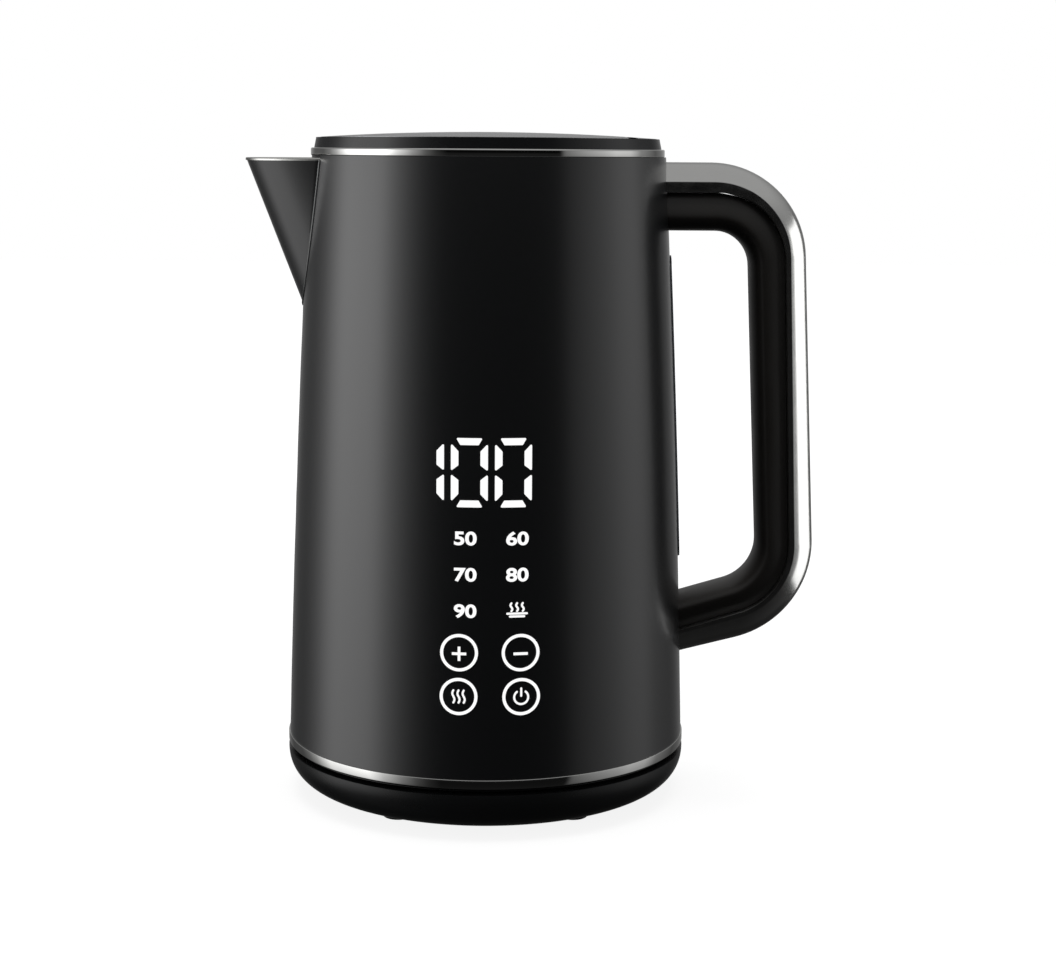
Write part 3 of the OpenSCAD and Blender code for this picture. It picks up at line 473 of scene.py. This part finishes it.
def spout_half(d):
    """Half the spout's width in mm at a depth d behind its nose."""
    return 7.1 * math.sqrt(d) - 0.355 * d


def seam_depth(z):
    """How far behind its nose the spout's side meets the body, found by halving."""
    low, high = 0.0, 42.0
    for _ in range(40):
        middle = (low + high) / 2
        if math.hypot(nose_x(z) + middle, spout_half(middle)) > body_r(z):
            low = middle
        else:
            high = middle
    return low


def sheet_line(z, inset=0.0, steps=28):
    """The wall of the spout at one height, from inside the throat round the nose and back."""
    deep = seam_depth(z)
    half = max(0.06, spout_half(deep) - inset)
    line = []
    for k in range(-steps, steps + 1):
        d = deep * (k / steps) ** 2
        a = math.atan(7.1 / (2 * math.sqrt(d)) - 0.355) if d > 1e-4 else math.pi / 2
        y = min(half, max(0, spout_half(d) - inset * math.cos(a)))
        line.append((nose_x(z) + d + inset * math.sin(a), math.copysign(y, k), z))
    inner = -math.sqrt(61.6 ** 2 - half ** 2)
    return [(inner, -half, z)] + line + [(inner, half, z)]


def walled(name, outer, inner):
    """A sheet with two faces, each a grid of points in mm, closed round its edge."""
    shape = bmesh.new()
    grids = [[[shape.verts.new(Vector(p) / 1000) for p in row] for row in grid] for grid in (outer, inner)]
    for grid in grids:
        for one, two in zip(grid, grid[1:]):
            for k in range(len(one) - 1):
                shape.faces.new((one[k], one[k + 1], two[k + 1], two[k]))
    front, back = ([*grid[0], *(row[-1] for row in grid[1:]), *grid[-1][-2::-1],
                    *(row[0] for row in grid[-2:0:-1])] for grid in grids)
    for k in range(len(front)):
        j = (k + 1) % len(front)
        shape.faces.new((front[k], front[j], back[j], back[k]))
    bmesh.ops.recalc_face_normals(shape, faces=shape.faces)
    mesh = bpy.data.meshes.new(name)
    shape.to_mesh(mesh)
    shape.free()
    return mesh


spout_low = next(z / 50 for z in range(9500, 12550) if -nose_x(z / 50) > body_r(z / 50) + 0.02)
rows = [spout_low + (250.2 - spout_low) * (k / 34) ** 1.25 for k in range(35)]
outside = [sheet_line(z, 0.12) for z in rows]
inside = [sheet_line(min(250.2, z + 1.2 * (1 - k / 34) ** 6), 1.0) for k, z in enumerate(rows)]
inside = [[(x, y, z) for x, y, _ in line] for line, z in zip(inside, rows)]
finished("spout_sheet", walled("spout_sheet", outside, inside), lacquer, "kettle", "spout", sharp=28)


def strip(name, lines):
    """A closed ribbon through the same number of points of several lines in mm, capped at its ends."""
    shape = bmesh.new()
    made = [[shape.verts.new(Vector(p) / 1000) for p in line] for line in lines]
    for one, two in zip(made, made[1:] + made[:1]):
        for k in range(len(one) - 1):
            shape.faces.new((one[k], one[k + 1], two[k + 1], two[k]))
    for end in (0, -1):
        shape.faces.new([line[end] for line in made])
    bmesh.ops.recalc_face_normals(shape, faces=shape.faces)
    mesh = bpy.data.meshes.new(name)
    shape.to_mesh(mesh)
    shape.free()
    return mesh


# The rim is left bright, and its edge is dressed to a small round
steel = polished("dressed_stainless_edge", "d6d6d3", 0.2)
edge_form = [(0.0, 249.95), (0.0, 250.6), (0.08, 250.85), (0.25, 250.97), (0.5, 251.0), (0.75, 250.97),
             (0.95, 250.85), (1.05, 250.6), (1.05, 249.95)]
lip_lines = [[(x, y, z) for x, y, _ in sheet_line(251.0, inset)] for inset, z in edge_form]
finished("spout_rim", strip("spout_rim", lip_lines), steel, "kettle", sharp=50)


def along(name, points, radius, sides=10):
    """A round bead or wire of a radius in mm along points in mm."""
    curve = bpy.data.curves.new(name, "CURVE")
    curve.dimensions = "3D"
    curve.bevel_depth = radius / 1000
    curve.bevel_resolution = sides // 2 - 2
    curve.use_fill_caps = True
    line = curve.splines.new("POLY")
    line.points.add(len(points) - 1)
    for spot, p in zip(line.points, points):
        spot.co = [c / 1000 for c in p] + [1]
    holder = bpy.data.objects.new(name, curve)
    scene.collection.objects.link(holder)
    mesh = bpy.data.meshes.new_from_object(holder.evaluated_get(bpy.context.evaluated_depsgraph_get()))
    bpy.data.objects.remove(holder)
    return mesh


# The weld shows as a thin round bead where the sides meet the body
weld = [(nose_x(z) + seam_depth(z), spout_half(seam_depth(z)), z) for z in rows]
weld = [(x, -y, z) for x, y, z in reversed(weld)] + weld
bead = polished("ground_weld", "8a8b8b", 0.4)
finished("spout_weld", along("spout_weld", weld, 0.5), bead, "kettle")


# ---------------------------------------------------------------- collar and lid
# The collar that seats the lid is black ABS. The lid is a black rim under a domed plate
# of satin metal; a strip of the same plate covers the hinge.
gloss_black = moulded("polished_black_abs", "232426", 0.24, 0.5, 0.03)
collar = dressed("top_collar", gloss_black, piece="collar")
lid_rim = dressed("lid_body", gloss_black, piece="lid_rim")


def straight_out(p):
    """The outward normal of an upright round wall at a point."""
    return Vector((p.x, p.y, 0)).normalized() if p.xy.length > 0.02 else Vector((0, 0, 1))


for piece in (collar, lid_rim):
    follow_form(piece, straight_out, 0.97)


def satin(name, colour, rough=0.3, step_mm=0.35, across="X", metal=1.0):
    """Brushed metal: fine straight scratches that run along one axis."""
    made, t, shader, place = blank(name)
    pull = [1.0, 1.0, 1.0]
    pull["XYZ".index(across)] = 0.02
    drawn = add(t, "ShaderNodeMapping", {"Vector": place, "Scale": pull})
    lines = add(t, "ShaderNodeTexNoise", {"Vector": drawn.outputs[0], "Scale": 1000 / step_mm,
                                          "Detail": 2.0})
    tone = add(t, "ShaderNodeMapRange", {"Value": lines.outputs["Fac"], "From Min": 0.3, "From Max": 0.7,
                                         "To Min": rough - 0.07, "To Max": rough + 0.07})
    t.links.new(tone.outputs[0], shader.inputs["Roughness"])
    dark, light = shades(colour, 0.85, 1.1)
    streak = add(t, "ShaderNodeMix", {"Factor": lines.outputs["Fac"], "A": dark, "B": light},
                 data_type="RGBA")
    t.links.new(streak.outputs["Result"], shader.inputs["Base Color"])
    bump = add(t, "ShaderNodeBump", {"Height": lines.outputs["Fac"], "Strength": 0.12, "Distance": 0.00003})
    t.links.new(bump.outputs[0], shader.inputs["Normal"])
    shader.inputs["Metallic"].default_value = metal
    return made


lid_metal = satin("satin_lid_plate", "b4b5b7", 0.3)
dome_centre = Vector((0, 0, -0.6824))
for node, piece in (("lid_top_plate", "lid_plate"), ("hinge_cover", "hinge_strip")):
    follow_form(dressed(node, lid_metal, piece=piece), lambda p: (p - dome_centre).normalized(), 0.995)
dressed("lid_button", gloss_black, piece="lid_push_button")


# ---------------------------------------------------------------- handle
# A hollow grip of satin black ABS with a bright metal band along its back.
# Both follow the same bent line: in along the top arm, down, and back along the lower arm.
def handle_line(top_z, x_mid, lean, low_z, slope, top_round, low_round, steps=24):
    """One line of the handle in mm, seen from the side, with round corners."""
    la, sa = math.atan(lean), math.atan(slope)
    corner1 = Vector((x_mid + lean * (160 - top_z), top_z))
    x2 = (x_mid + lean * (160 - low_z + slope * 78)) / (1 + lean * slope)
    corner2 = Vector((x2, low_z + slope * (x2 - 78)))
    c1 = Vector((corner1.x - top_round * math.tan((math.pi / 2 - la) / 2), top_z - top_round))
    t2 = low_round * math.tan((math.pi / 2 - sa + la) / 2)
    up, back = Vector((-math.sin(la), math.cos(la))), Vector((-math.cos(la), -math.sin(la)))
    c2 = corner2 + t2 * up + low_round * back
    line = [Vector((64, top_z)), Vector((74, top_z))]
    for k in range(steps + 1):
        a = math.pi / 2 - (math.pi / 2 - la) * k / steps
        line.append(c1 + top_round * Vector((math.cos(a), math.sin(a))))
    for k in range(steps + 1):
        a = la - (math.pi / 2 + la - sa) * k / steps
        line.append(c2 + low_round * Vector((math.cos(a), math.sin(a))))
    return line + [Vector((84, low_z + slope * 6)), Vector((66, low_z - slope * 12))]


def onto_body(outer, inner, depth=0.25):
    """The point between two points in mm that lies just under the skin of the body."""
    a, b = 0.0, 1.0
    for _ in range(40):
        middle = (a + b) / 2
        p = outer.lerp(inner, middle)
        if math.hypot(p.x, p.y) > body_r(p.z) - depth:
            a = middle
        else:
            b = middle
    return outer.lerp(inner, a)


def lofted(name, rings):
    """A solid through a row of rings of points in mm, closed at both ends on the body."""
    rings = [[Vector(p) for p in ring] for ring in rings]
    rings[0] = [onto_body(q, p) for p, q in zip(rings[0], rings[1])]
    rings[-1] = [onto_body(q, p) for p, q in zip(rings[-1], rings[-2])]
    shape = bmesh.new()
    made = [[shape.verts.new(p / 1000) for p in ring] for ring in rings]
    for one, two in zip(made, made[1:]):
        for k in range(len(one)):
            j = (k + 1) % len(one)
            shape.faces.new((one[k], one[j], two[j], two[k]))
    for cap in (made[0], made[-1]):
        shape.faces.new(cap)
    bmesh.ops.recalc_face_normals(shape, faces=shape.faces)
    mesh = bpy.data.meshes.new(name)
    shape.to_mesh(mesh)
    shape.free()
    return mesh


# Each line by the top arm's height, the reach half way down and its lean, the lower arm's height
# and slope, and the radii of the two bends
grip_half = 12.5
outer_line = handle_line(250.2, 127.75, 0.048, 55.1, 0.2475, 38, 40)
crown_line = handle_line(242.8, 119.6, 0.0367, 64.7, 0.276, 30, 30)
split_line = handle_line(238.4, 117.6, 0.0355, 66.5, 0.304, 27, 27)
inner_line = handle_line(223.7, 105.0, 0.0467, 79.3, 0.2886, 14, 17)


def across(a, b, u, v):
    """A point u of the way from line point a to b, and v of half the handle's width across."""
    p = a + (b - a) * u
    return (p.x, v * grip_half, p.y)


# The grip's flank is nearly flat, eased to the parting line and well rounded inside
grip_section = [(0.62 - 0.62 * k / 10, 1 - 0.26 * (k / 10) ** 1.45) for k in range(10, 0, -1)]
grip_section[:0] = [(0.0, 0.6), (0.008, 0.68)]
grip_section += [(0.62 + 0.38 * math.sin(a), math.cos(a) ** 0.75)
                 for a in (math.pi * k / 28 for k in range(14))]
grip_section += [(1.0, 0.0)] + [(u, -v) for u, v in reversed(grip_section)]
grip_rings = [[across(s, i, u, v) for u, v in grip_section] for s, i in zip(split_line, inner_line)]
grip_plastic = moulded("satin_black_abs", "292725", 0.4, 0.7, 0.06)
finished("grip", lofted("grip", grip_rings), grip_plastic, "kettle", "handle_grip", sharp=50)

# The band has a narrow flank and a shallow crown that meets it at a small round edge
crown_half = math.radians(62)
crown_rise, crown_reach = 1 - math.cos(crown_half), math.sin(crown_half)
crown = [(1 - (1 - math.cos(a)) / crown_rise, math.sin(a) / crown_reach)
         for a in (crown_half * (k / 8 - 1) for k in range(17))]
crown[0:1] = [(-0.02, -0.998), (0.01, -0.996), (0.045, -0.984)]
crown[-1:] = [(0.045, 0.984), (0.01, 0.996), (-0.02, 0.998)]
band_rings = []
for split, edge, outer in zip(split_line, crown_line, outer_line):
    ring = [across(split, edge, u, v) for u, v in ((0.06, 0.8), (0.06, -0.8), (0.08, -0.97), (0.2, -1))]
    ring += [across(edge, outer, u, v) for u, v in crown]
    ring += [across(split, edge, 0.2, 1), across(split, edge, 0.08, 0.97)]
    band_rings.append(ring)
band_metal = polished("polished_band", "dededc", 0.17)
band = finished("band", lofted("band", band_rings), band_metal, "kettle", "handle_band", sharp=24)

# A strip lamp to the right picks out the band alone, which keeps the lacquer beside it dark
strip_light = bpy.data.lights.new("strip", "AREA")
strip_light.shape = "RECTANGLE"
strip_light.size, strip_light.size_y = 1.2, 1.3
strip_light.energy = 6.2
strip_lamp = bpy.data.objects.new("strip", strip_light)
strip_lamp.location = (1.29, 0.25, -0.02)
strip_lamp.rotation_euler = (math.pi / 2, 0, math.radians(102))
scene.collection.objects.link(strip_lamp)
lit_alone = bpy.data.collections.new("lit_by_strip")
lit_alone.objects.link(band)
strip_lamp.light_linking.receiver_collection = lit_alone


# ---------------------------------------------------------------- display figures and keys
# White light through fine cut-outs in the shell: a three-figure display, five temperatures,
# a boiling mark, and four round touch keys.
lit, lit_tree, shader, place = blank("white_light_through_film")
cells = add(lit_tree, "ShaderNodeTexNoise", {"Vector": place, "Scale": 1500.0})
film = add(lit_tree, "ShaderNodeMix", {"Factor": cells.outputs["Fac"], "A": linear("2c2e30"),
                                       "B": linear("3c3e40")}, data_type="RGBA")
lit_tree.links.new(film.outputs["Result"], shader.inputs["Base Color"])
shader.inputs["Emission Color"].default_value = linear("ffffff")
shader.inputs["Emission Strength"].default_value = 1.0
shader.inputs["Roughness"].default_value = 0.5


def flat(name, outlines, text=None):
    """Closed outlines in mm, or a line of bold text, filled as one flat layer 0.1 mm thick."""
    curve = bpy.data.curves.new(name, "FONT" if text else "CURVE")
    if text:
        curve.body = text
        curve.bevel_depth = 0.03       # the bold edge grows outwards, so the filled middle stays whole
        curve.bevel_resolution = 0
        curve.extrude = 0.03
    else:
        curve.dimensions = "2D"
        curve.fill_mode = "BOTH"
        curve.extrude = 0.05
        for outline in outlines:
            line = curve.splines.new("POLY")
            line.points.add(len(outline) - 1)
            line.use_cyclic_u = True
            for spot, (x, z) in zip(line.points, outline):
                spot.co = (x, z, 0, 1)
    holder = bpy.data.objects.new(name, curve)
    scene.collection.objects.link(holder)
    mesh = bpy.data.meshes.new_from_object(holder.evaluated_get(bpy.context.evaluated_depsgraph_get()))
    bpy.data.objects.remove(holder)
    return mesh


film_back, film_front = 0.02, 0.13      # mm that the lit layer's two faces stand off the shell


def on_front(name, layers, replaced, bend=True):
    """Lays flat meshes in x and z, each with its place and size, on the curved front of the shell.
    Wide ones are cut every 1.5 mm so that they can bend; bend=False leaves small figures whole."""
    shape = bmesh.new()
    for mesh, centre, size in layers:
        known = len(shape.verts)
        shape.from_mesh(mesh)
        shape.verts.ensure_lookup_table()
        new = shape.verts[known:]
        if size:
            low = [min(v.co[i] for v in new) for i in (0, 1)]
            high = [max(v.co[i] for v in new) for i in (0, 1)]
            for v in new:
                for i in (0, 1):
                    v.co[i] = centre[i] + ((v.co[i] - low[i]) / (high[i] - low[i]) - 0.5) * size[i]
        else:
            for v in new:
                v.co.x += centre[0]
                v.co.y += centre[1]
    bmesh.ops.remove_doubles(shape, verts=shape.verts, dist=1e-4)
    for k in range(-14, 15) if bend else ():
        bmesh.ops.bisect_plane(shape, geom=shape.verts[:] + shape.edges[:] + shape.faces[:],
                               plane_co=(1.5 * k, 0, 0), plane_no=(1, 0, 0))
    for v in shape.verts:
        x, z, lift = v.co
        r = body_r(z) + (film_front if lift > 0 else film_back)
        v.co = Vector((x, -math.sqrt(r * r - x * x), z)) / 1000
    bmesh.ops.recalc_face_normals(shape, faces=shape.faces)
    mesh = bpy.data.meshes.new(name)
    shape.to_mesh(mesh)
    shape.free()
    return finished(name, mesh, lit, "kettle", replaced, sharp=40)


# The large figures: mitred bars with softened corners, 1 mm apart
def upright_bar(x, mid, side, up, bar=2.75, long=12.7):
    """One upright bar of a figure: side is 1 where its straight edge is on the left."""
    points = [(0, 0.58), (bar, 2.7), (bar, long - 4.9), (0, long - 2.0)]
    placed = [(x + (p if side > 0 else -p), mid + (q if up else -q), 0.35) for p, q in points]
    return rounded(placed if side * (1 if up else -1) > 0 else placed[::-1], 3)


def level_bar(x, z, wide, up, bar=2.55):
    """The bar at the top or the foot of a figure."""
    points = [(1.9, 0), (wide - 1.9, 0), (wide - 3.4, -bar), (3.4, -bar)]
    placed = [(x + p, z + (q if up else -q), 0.35) for p, q in points]
    return rounded(placed if not up else placed[::-1], 3)


middle, half_tall, wide = 138.4, 12.65, 13.5
bars = [upright_bar(-15.6, middle, -1, up) for up in (True, False)]
for left in (-13.1, 2.95):
    bars += [upright_bar(left, middle, 1, up) for up in (True, False)]
    bars += [upright_bar(left + wide, middle, -1, up) for up in (True, False)]
    bars += [level_bar(left, middle + half_tall, wide, True),
             level_bar(left, middle - half_tall, wide, False)]
on_front("figures_100", [(flat("bars", bars), (0, 0), None)], "display_digits")


def stroke(points, width):
    """The outline of a pen stroke of a width in mm, with round ends."""
    points = [Vector(p) for p in points]
    sides = [[], []]
    for k, p in enumerate(points):
        on = (points[min(k + 1, len(points) - 1)] - points[max(k - 1, 0)]).normalized()
        square = Vector((-on.y, on.x)) * width / 2
        sides[0].append(p + square)
        sides[1].append(p - square)
    caps = []
    for end, inner in ((-1, -2), (0, 1)):
        on = (points[end] - points[inner]).normalized()
        square = Vector((-on.y, on.x)) * width / 2
        caps.append([points[end] + square * math.cos(a) + on * width / 2 * math.sin(a)
                     for a in (math.pi * k / 6 for k in range(1, 6))])
    return sides[0] + caps[0] + sides[1][::-1] + caps[1]


def wave(x, z0, z1, swing):
    """A rising wisp of steam as points."""
    return [(x + swing * math.sin(2 * math.pi * k / 12), z0 + (z1 - z0) * k / 12) for k in range(13)]


# The temperatures, and three wisps over a pan for a rolling boil
small = [(flat("t" + word, None, word), place, (8.3, 5.15)) for word, place in (
    ("50", (-7.75, 114.3)), ("60", (11.3, 114.3)), ("70", (-7.75, 100.9)), ("80", (11.3, 100.9)),
    ("90", (-7.75, 87.4)))]
pan = [stroke(wave(x, -0.3, 2.6, 0.35), 0.75) for x in (-2.1, 0, 2.1)]
pan += [stroke([(-3.6, -1.25), (3.6, -1.25)], 0.8), stroke([(-2.6, -2.3), (2.6, -2.3)], 0.8)]
on_front("temperatures", small + [(flat("pan", pan), (11.3, 87.75), None)], "temperature_marks", bend=False)


# The keys: plus, minus, keep warm as three wisps, and start or cancel as a switch mark
def circle(x, z, r, turn=1, steps=64):
    """A round outline; turn is -1 for a hole."""
    return [(x + r * math.cos(a), z + r * math.sin(a))
            for a in (turn * 2 * math.pi * k / steps for k in range(steps))]


keys = [(-9.95, 71.9), (12.7, 71.9), (-10.1, 55.5), (13.0, 55.4)]
marks = []
for x, z in keys:
    marks += [circle(x, z, 6.98), circle(x, z, 5.83, -1)]
arm, half, pen = 2.65, 0.5, 0.75
plus = [(-arm, -half), (-half, -half), (-half, -arm), (half, -arm), (half, -half), (arm, -half),
        (arm, half), (half, half), (half, arm), (-half, arm), (-half, half), (-arm, half)]
minus = [(-arm, -half), (arm, -half), (arm, half), (-arm, half)]
for (x, z), sign in zip(keys, (plus, minus)):
    marks.append([(x + dx, z - 0.4 + dz) for dx, dz in sign])
x, z = keys[2]
marks += [stroke(wave(x + dx, z - 2.3, z + 2.3, 0.4), pen) for dx in (-1.9, 0, 1.9)]
x, z = keys[3]
arc = [(x + 2.6 * math.sin(a), z - 0.2 + 2.6 * math.cos(a))
       for a in (math.radians(38 + 284 * k / 28) for k in range(29))]
marks += [stroke(arc, pen), stroke([(x, z + 0.3), (x, z + 3.1)], pen)]
on_front("key_rings", [(flat("rings", marks), (0, 0), None)], "key_marks")


# ---------------------------------------------------------------- water gauge
# A slot of smoked polycarbonate under the handle, with a glass sight tube behind it.
# The tube stands on two red silicone elbows that go through the pot.
def clear(name, colour, index, rough):
    """Clear or smoked moulded plastic or glass, tinted through its depth, with faint wiping marks."""
    made, t, shader, place = blank(name)
    wiped = add(t, "ShaderNodeTexNoise", {"Vector": place, "Scale": 300.0, "Detail": 3.0})
    tone = add(t, "ShaderNodeMapRange", {"Value": wiped.outputs["Fac"], "To Min": rough,
                                         "To Max": rough * 2.5})
    t.links.new(tone.outputs[0], shader.inputs["Roughness"])
    shader.inputs["Base Color"].default_value = linear(colour)
    shader.inputs["Transmission Weight"].default_value = 1.0
    shader.inputs["IOR"].default_value = index
    return made


smoked = clear("smoked_polycarbonate", "4a4c50", 1.58, 0.03)
glass = clear("borosilicate_tube", "f2f6f5", 1.47, 0.01)
red_silicone = rubber("red_silicone", "a63a2a", 0.6)
black_silicone = rubber("black_silicone", "202021", 0.7)
dressed("water_window", smoked, piece="gauge_window")
dressed("window_gasket", black_silicone)
dressed("sight_tube", glass)
dressed("tube_seals", red_silicone)
dressed("sensor_seal", red_silicone)


# ---------------------------------------------------------------- pot and filter
# The pot is deep-drawn stainless steel with a satin inside. A pull-out filter of woven
# steel wire in a nylon frame stands across the throat of the spout.
pot_steel = satin("deep_drawn_stainless", "d2d3d4", 0.38, 0.9, "Z", 0.6)
dressed("inner_pot", pot_steel)
dressed("filter_frame", socket_plastic)
wire = polished("woven_stainless_wire", "c9cacb", 0.3)
wire_r, screen_r, step = 0.13, 60.05, 1.3       # mm; the step between wires is also the mesh size
screen = [(screen_r * math.cos(a), screen_r * math.sin(a))
          for a in (math.radians(180 - 32.4 + 64.8 * k / 52) for k in range(53))]
upright_wire = along("upright_wire", [(0, 0, 198.4), (0, 0, 241.6)], wire_r, 6)
spread("filter_warp", upright_wire, [(x / 1000, y / 1000, 0, 0) for x, y in screen], wire, "kettle",
       "filter_mesh")
level_wire = along("level_wire", [(x, y, 0) for x, y in screen[::2]], wire_r, 6)
spread("filter_weft", level_wire, [(0, 0, (198.6 + step * k) / 1000, 0) for k in range(34)], wire, "kettle")


# ---------------------------------------------------------------- underside of the jug
# A glass-filled nylon cover holds the round connector, whose shutter is pushed up by the
# base. Pan-head screws with a cross recess close it, as they do the base.
dressed("bottom_cover", base_plastic)
dressed("kettle_connector", moulded("white_nylon", "d8d8d2", 0.45))
dressed("connector_shutter", socket_plastic)
brass = polished("turned_brass", "c9a552", 0.2)
dressed("contact_rings", brass)
dressed("connector_prongs", brass)
dressed("element_terminals", brass)
plated = polished("zinc_plated_steel", "b4b7ba", 0.28)


def screw(name, r, top, length, shank):
    """A pan-head screw pointing up, in mm: a domed head with a tapered cross recess, and its shank."""
    head = turned(name, rounded([(0, 0), (r * 0.72, 0, 0.4), (r, top * 0.45, 0.35), (r, top), (shank, top),
                                 (shank, length, 0.2), (0, length)], 3), 32)
    cross = bmesh.new()
    ends = []
    for z, arm, half in ((-0.4, r * 0.6, r * 0.13), (top * 0.6, r * 0.3, r * 0.1)):
        quarter = [(arm, -half), (arm, half), (half, half)]
        ends.append([cross.verts.new(Matrix.Rotation(math.pi / 2 * k, 3, "Z") @ Vector((x, y, z)) / 1000)
                     for k in range(4) for x, y in quarter])
    for k in range(12):
        j = (k + 1) % 12
        cross.faces.new((ends[0][k], ends[0][j], ends[1][j], ends[1][k]))
    for end in ends:
        cross.faces.new(end)
    bmesh.ops.recalc_face_normals(cross, faces=cross.faces)
    punch_mesh = bpy.data.meshes.new("punch")
    cross.to_mesh(punch_mesh)
    cross.free()
    plain, punch = bpy.data.objects.new(name, head), bpy.data.objects.new("punch", punch_mesh)
    for thing in (plain, punch):
        scene.collection.objects.link(thing)
    recess = plain.modifiers.new("recess", "BOOLEAN")
    recess.operation = "DIFFERENCE"
    recess.object = punch
    mesh = bpy.data.meshes.new_from_object(plain.evaluated_get(bpy.context.evaluated_depsgraph_get()))
    for thing in (plain, punch):
        bpy.data.objects.remove(thing)
    return mesh


def ring_of(r, z, angles):
    """Places on a circle of radius r at height z, in mm."""
    return [(r * math.cos(a) / 1000, r * math.sin(a) / 1000, z / 1000, a)
            for a in map(math.radians, angles)]


base_pan = screw("base_pan_head", 3.1, 0.8, 11.8, 1.5)
spread("base_pan_heads", base_pan, ring_of(42, 2.2, (0, 120, 240)), plated, "base", "base_screws")
clamp_pan = screw("clamp_pan_head", 2.3, 0.9, 12.2, 1.2)
clamp_pan.transform(Matrix.Rotation(math.pi, 4, "X"))
spread("clamp_pan_heads", clamp_pan, [(x, 0.056, 0.0168, 0) for x in (-0.0065, 0.0065)], plated, "base")
bottom_pan = screw("bottom_pan_head", 3.1, 1.2, 12.2, 1.5)
spread("bottom_pan_heads", bottom_pan, ring_of(60, 21.8, (30, 150, 270)), plated, "kettle", "bottom_screws")
lid_pan = screw("lid_pan_head", 2.6, 1.1, 11.1, 1.2)
spread("lid_pan_heads", lid_pan, ring_of(48, 243.9, (45, 135, 225, 315)), plated, "lid", "lid_screws")


# ---------------------------------------------------------------- parts inside
# Heater, wiring, boards, springs and latch: each keeps the shape of its solid and takes the
# finish of what it is made of. They show when the lid is open or the jug is lifted.
def laminate(name, colour):
    """Glass-epoxy board under solder mask: a woven ground of 0.5 mm under a smooth green film."""
    made, t, shader, place = blank(name)
    weave = add(t, "ShaderNodeTexWave", {"Vector": place, "Scale": 630.0, "Distortion": 0.4},
                wave_type="BANDS", bands_direction="DIAGONAL")
    dark, light = shades(colour, 0.8, 1.15)
    shade = add(t, "ShaderNodeMix", {"Factor": weave.outputs["Fac"], "A": dark, "B": light},
                data_type="RGBA")
    t.links.new(shade.outputs["Result"], shader.inputs["Base Color"])
    shader.inputs["Roughness"].default_value = 0.3
    return made


aluminium = satin("pressed_aluminium", "a9abae", 0.42, 0.8, "Y")
spring_steel = polished("spring_steel", "b2b5b8", 0.25)
board = laminate("glass_epoxy_board", "1f5a38")
finishes = {
    "cord_clamp": socket_plastic, "base_leads": rubber("brown_lead_sleeve", "6e3a22", 0.55),
    "handle_screws": plated, "chassis_ring": moulded("natural_nylon", "cfcfc8", 0.5),
    "heating_plate": pot_steel, "heating_element": aluminium,
    "boil_dry_cutout": moulded("phenolic_cut_out", "b9a67c", 0.5), "temperature_sensor": pot_steel,
    "handle_brackets": aluminium, "hinge_pin": pot_steel, "lid_inner_plate": pot_steel,
    "lid_gasket": rubber("grey_silicone", "86888b", 0.6), "lid_spring": spring_steel,
    "button_spring": spring_steel, "latch_spring": spring_steel,
    "latch_bolt": moulded("black_acetal", "232427", 0.38), "control_board": board,
    "power_board": board, "relay": moulded("relay_case", "23262d", 0.35),
    "display_module": moulded("white_light_box", "e2e2de", 0.45),
    "touch_film": laminate("amber_polyimide", "b06a28"), "touch_springs": brass,
    "internal_leads": rubber("red_lead_sleeve", "8c2a24", 0.55)}
inside = {name: dressed(name, finish) for name, finish in finishes.items()}
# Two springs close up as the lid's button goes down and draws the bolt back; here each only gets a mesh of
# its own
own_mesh(inside["button_spring"])
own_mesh(inside["latch_spring"])
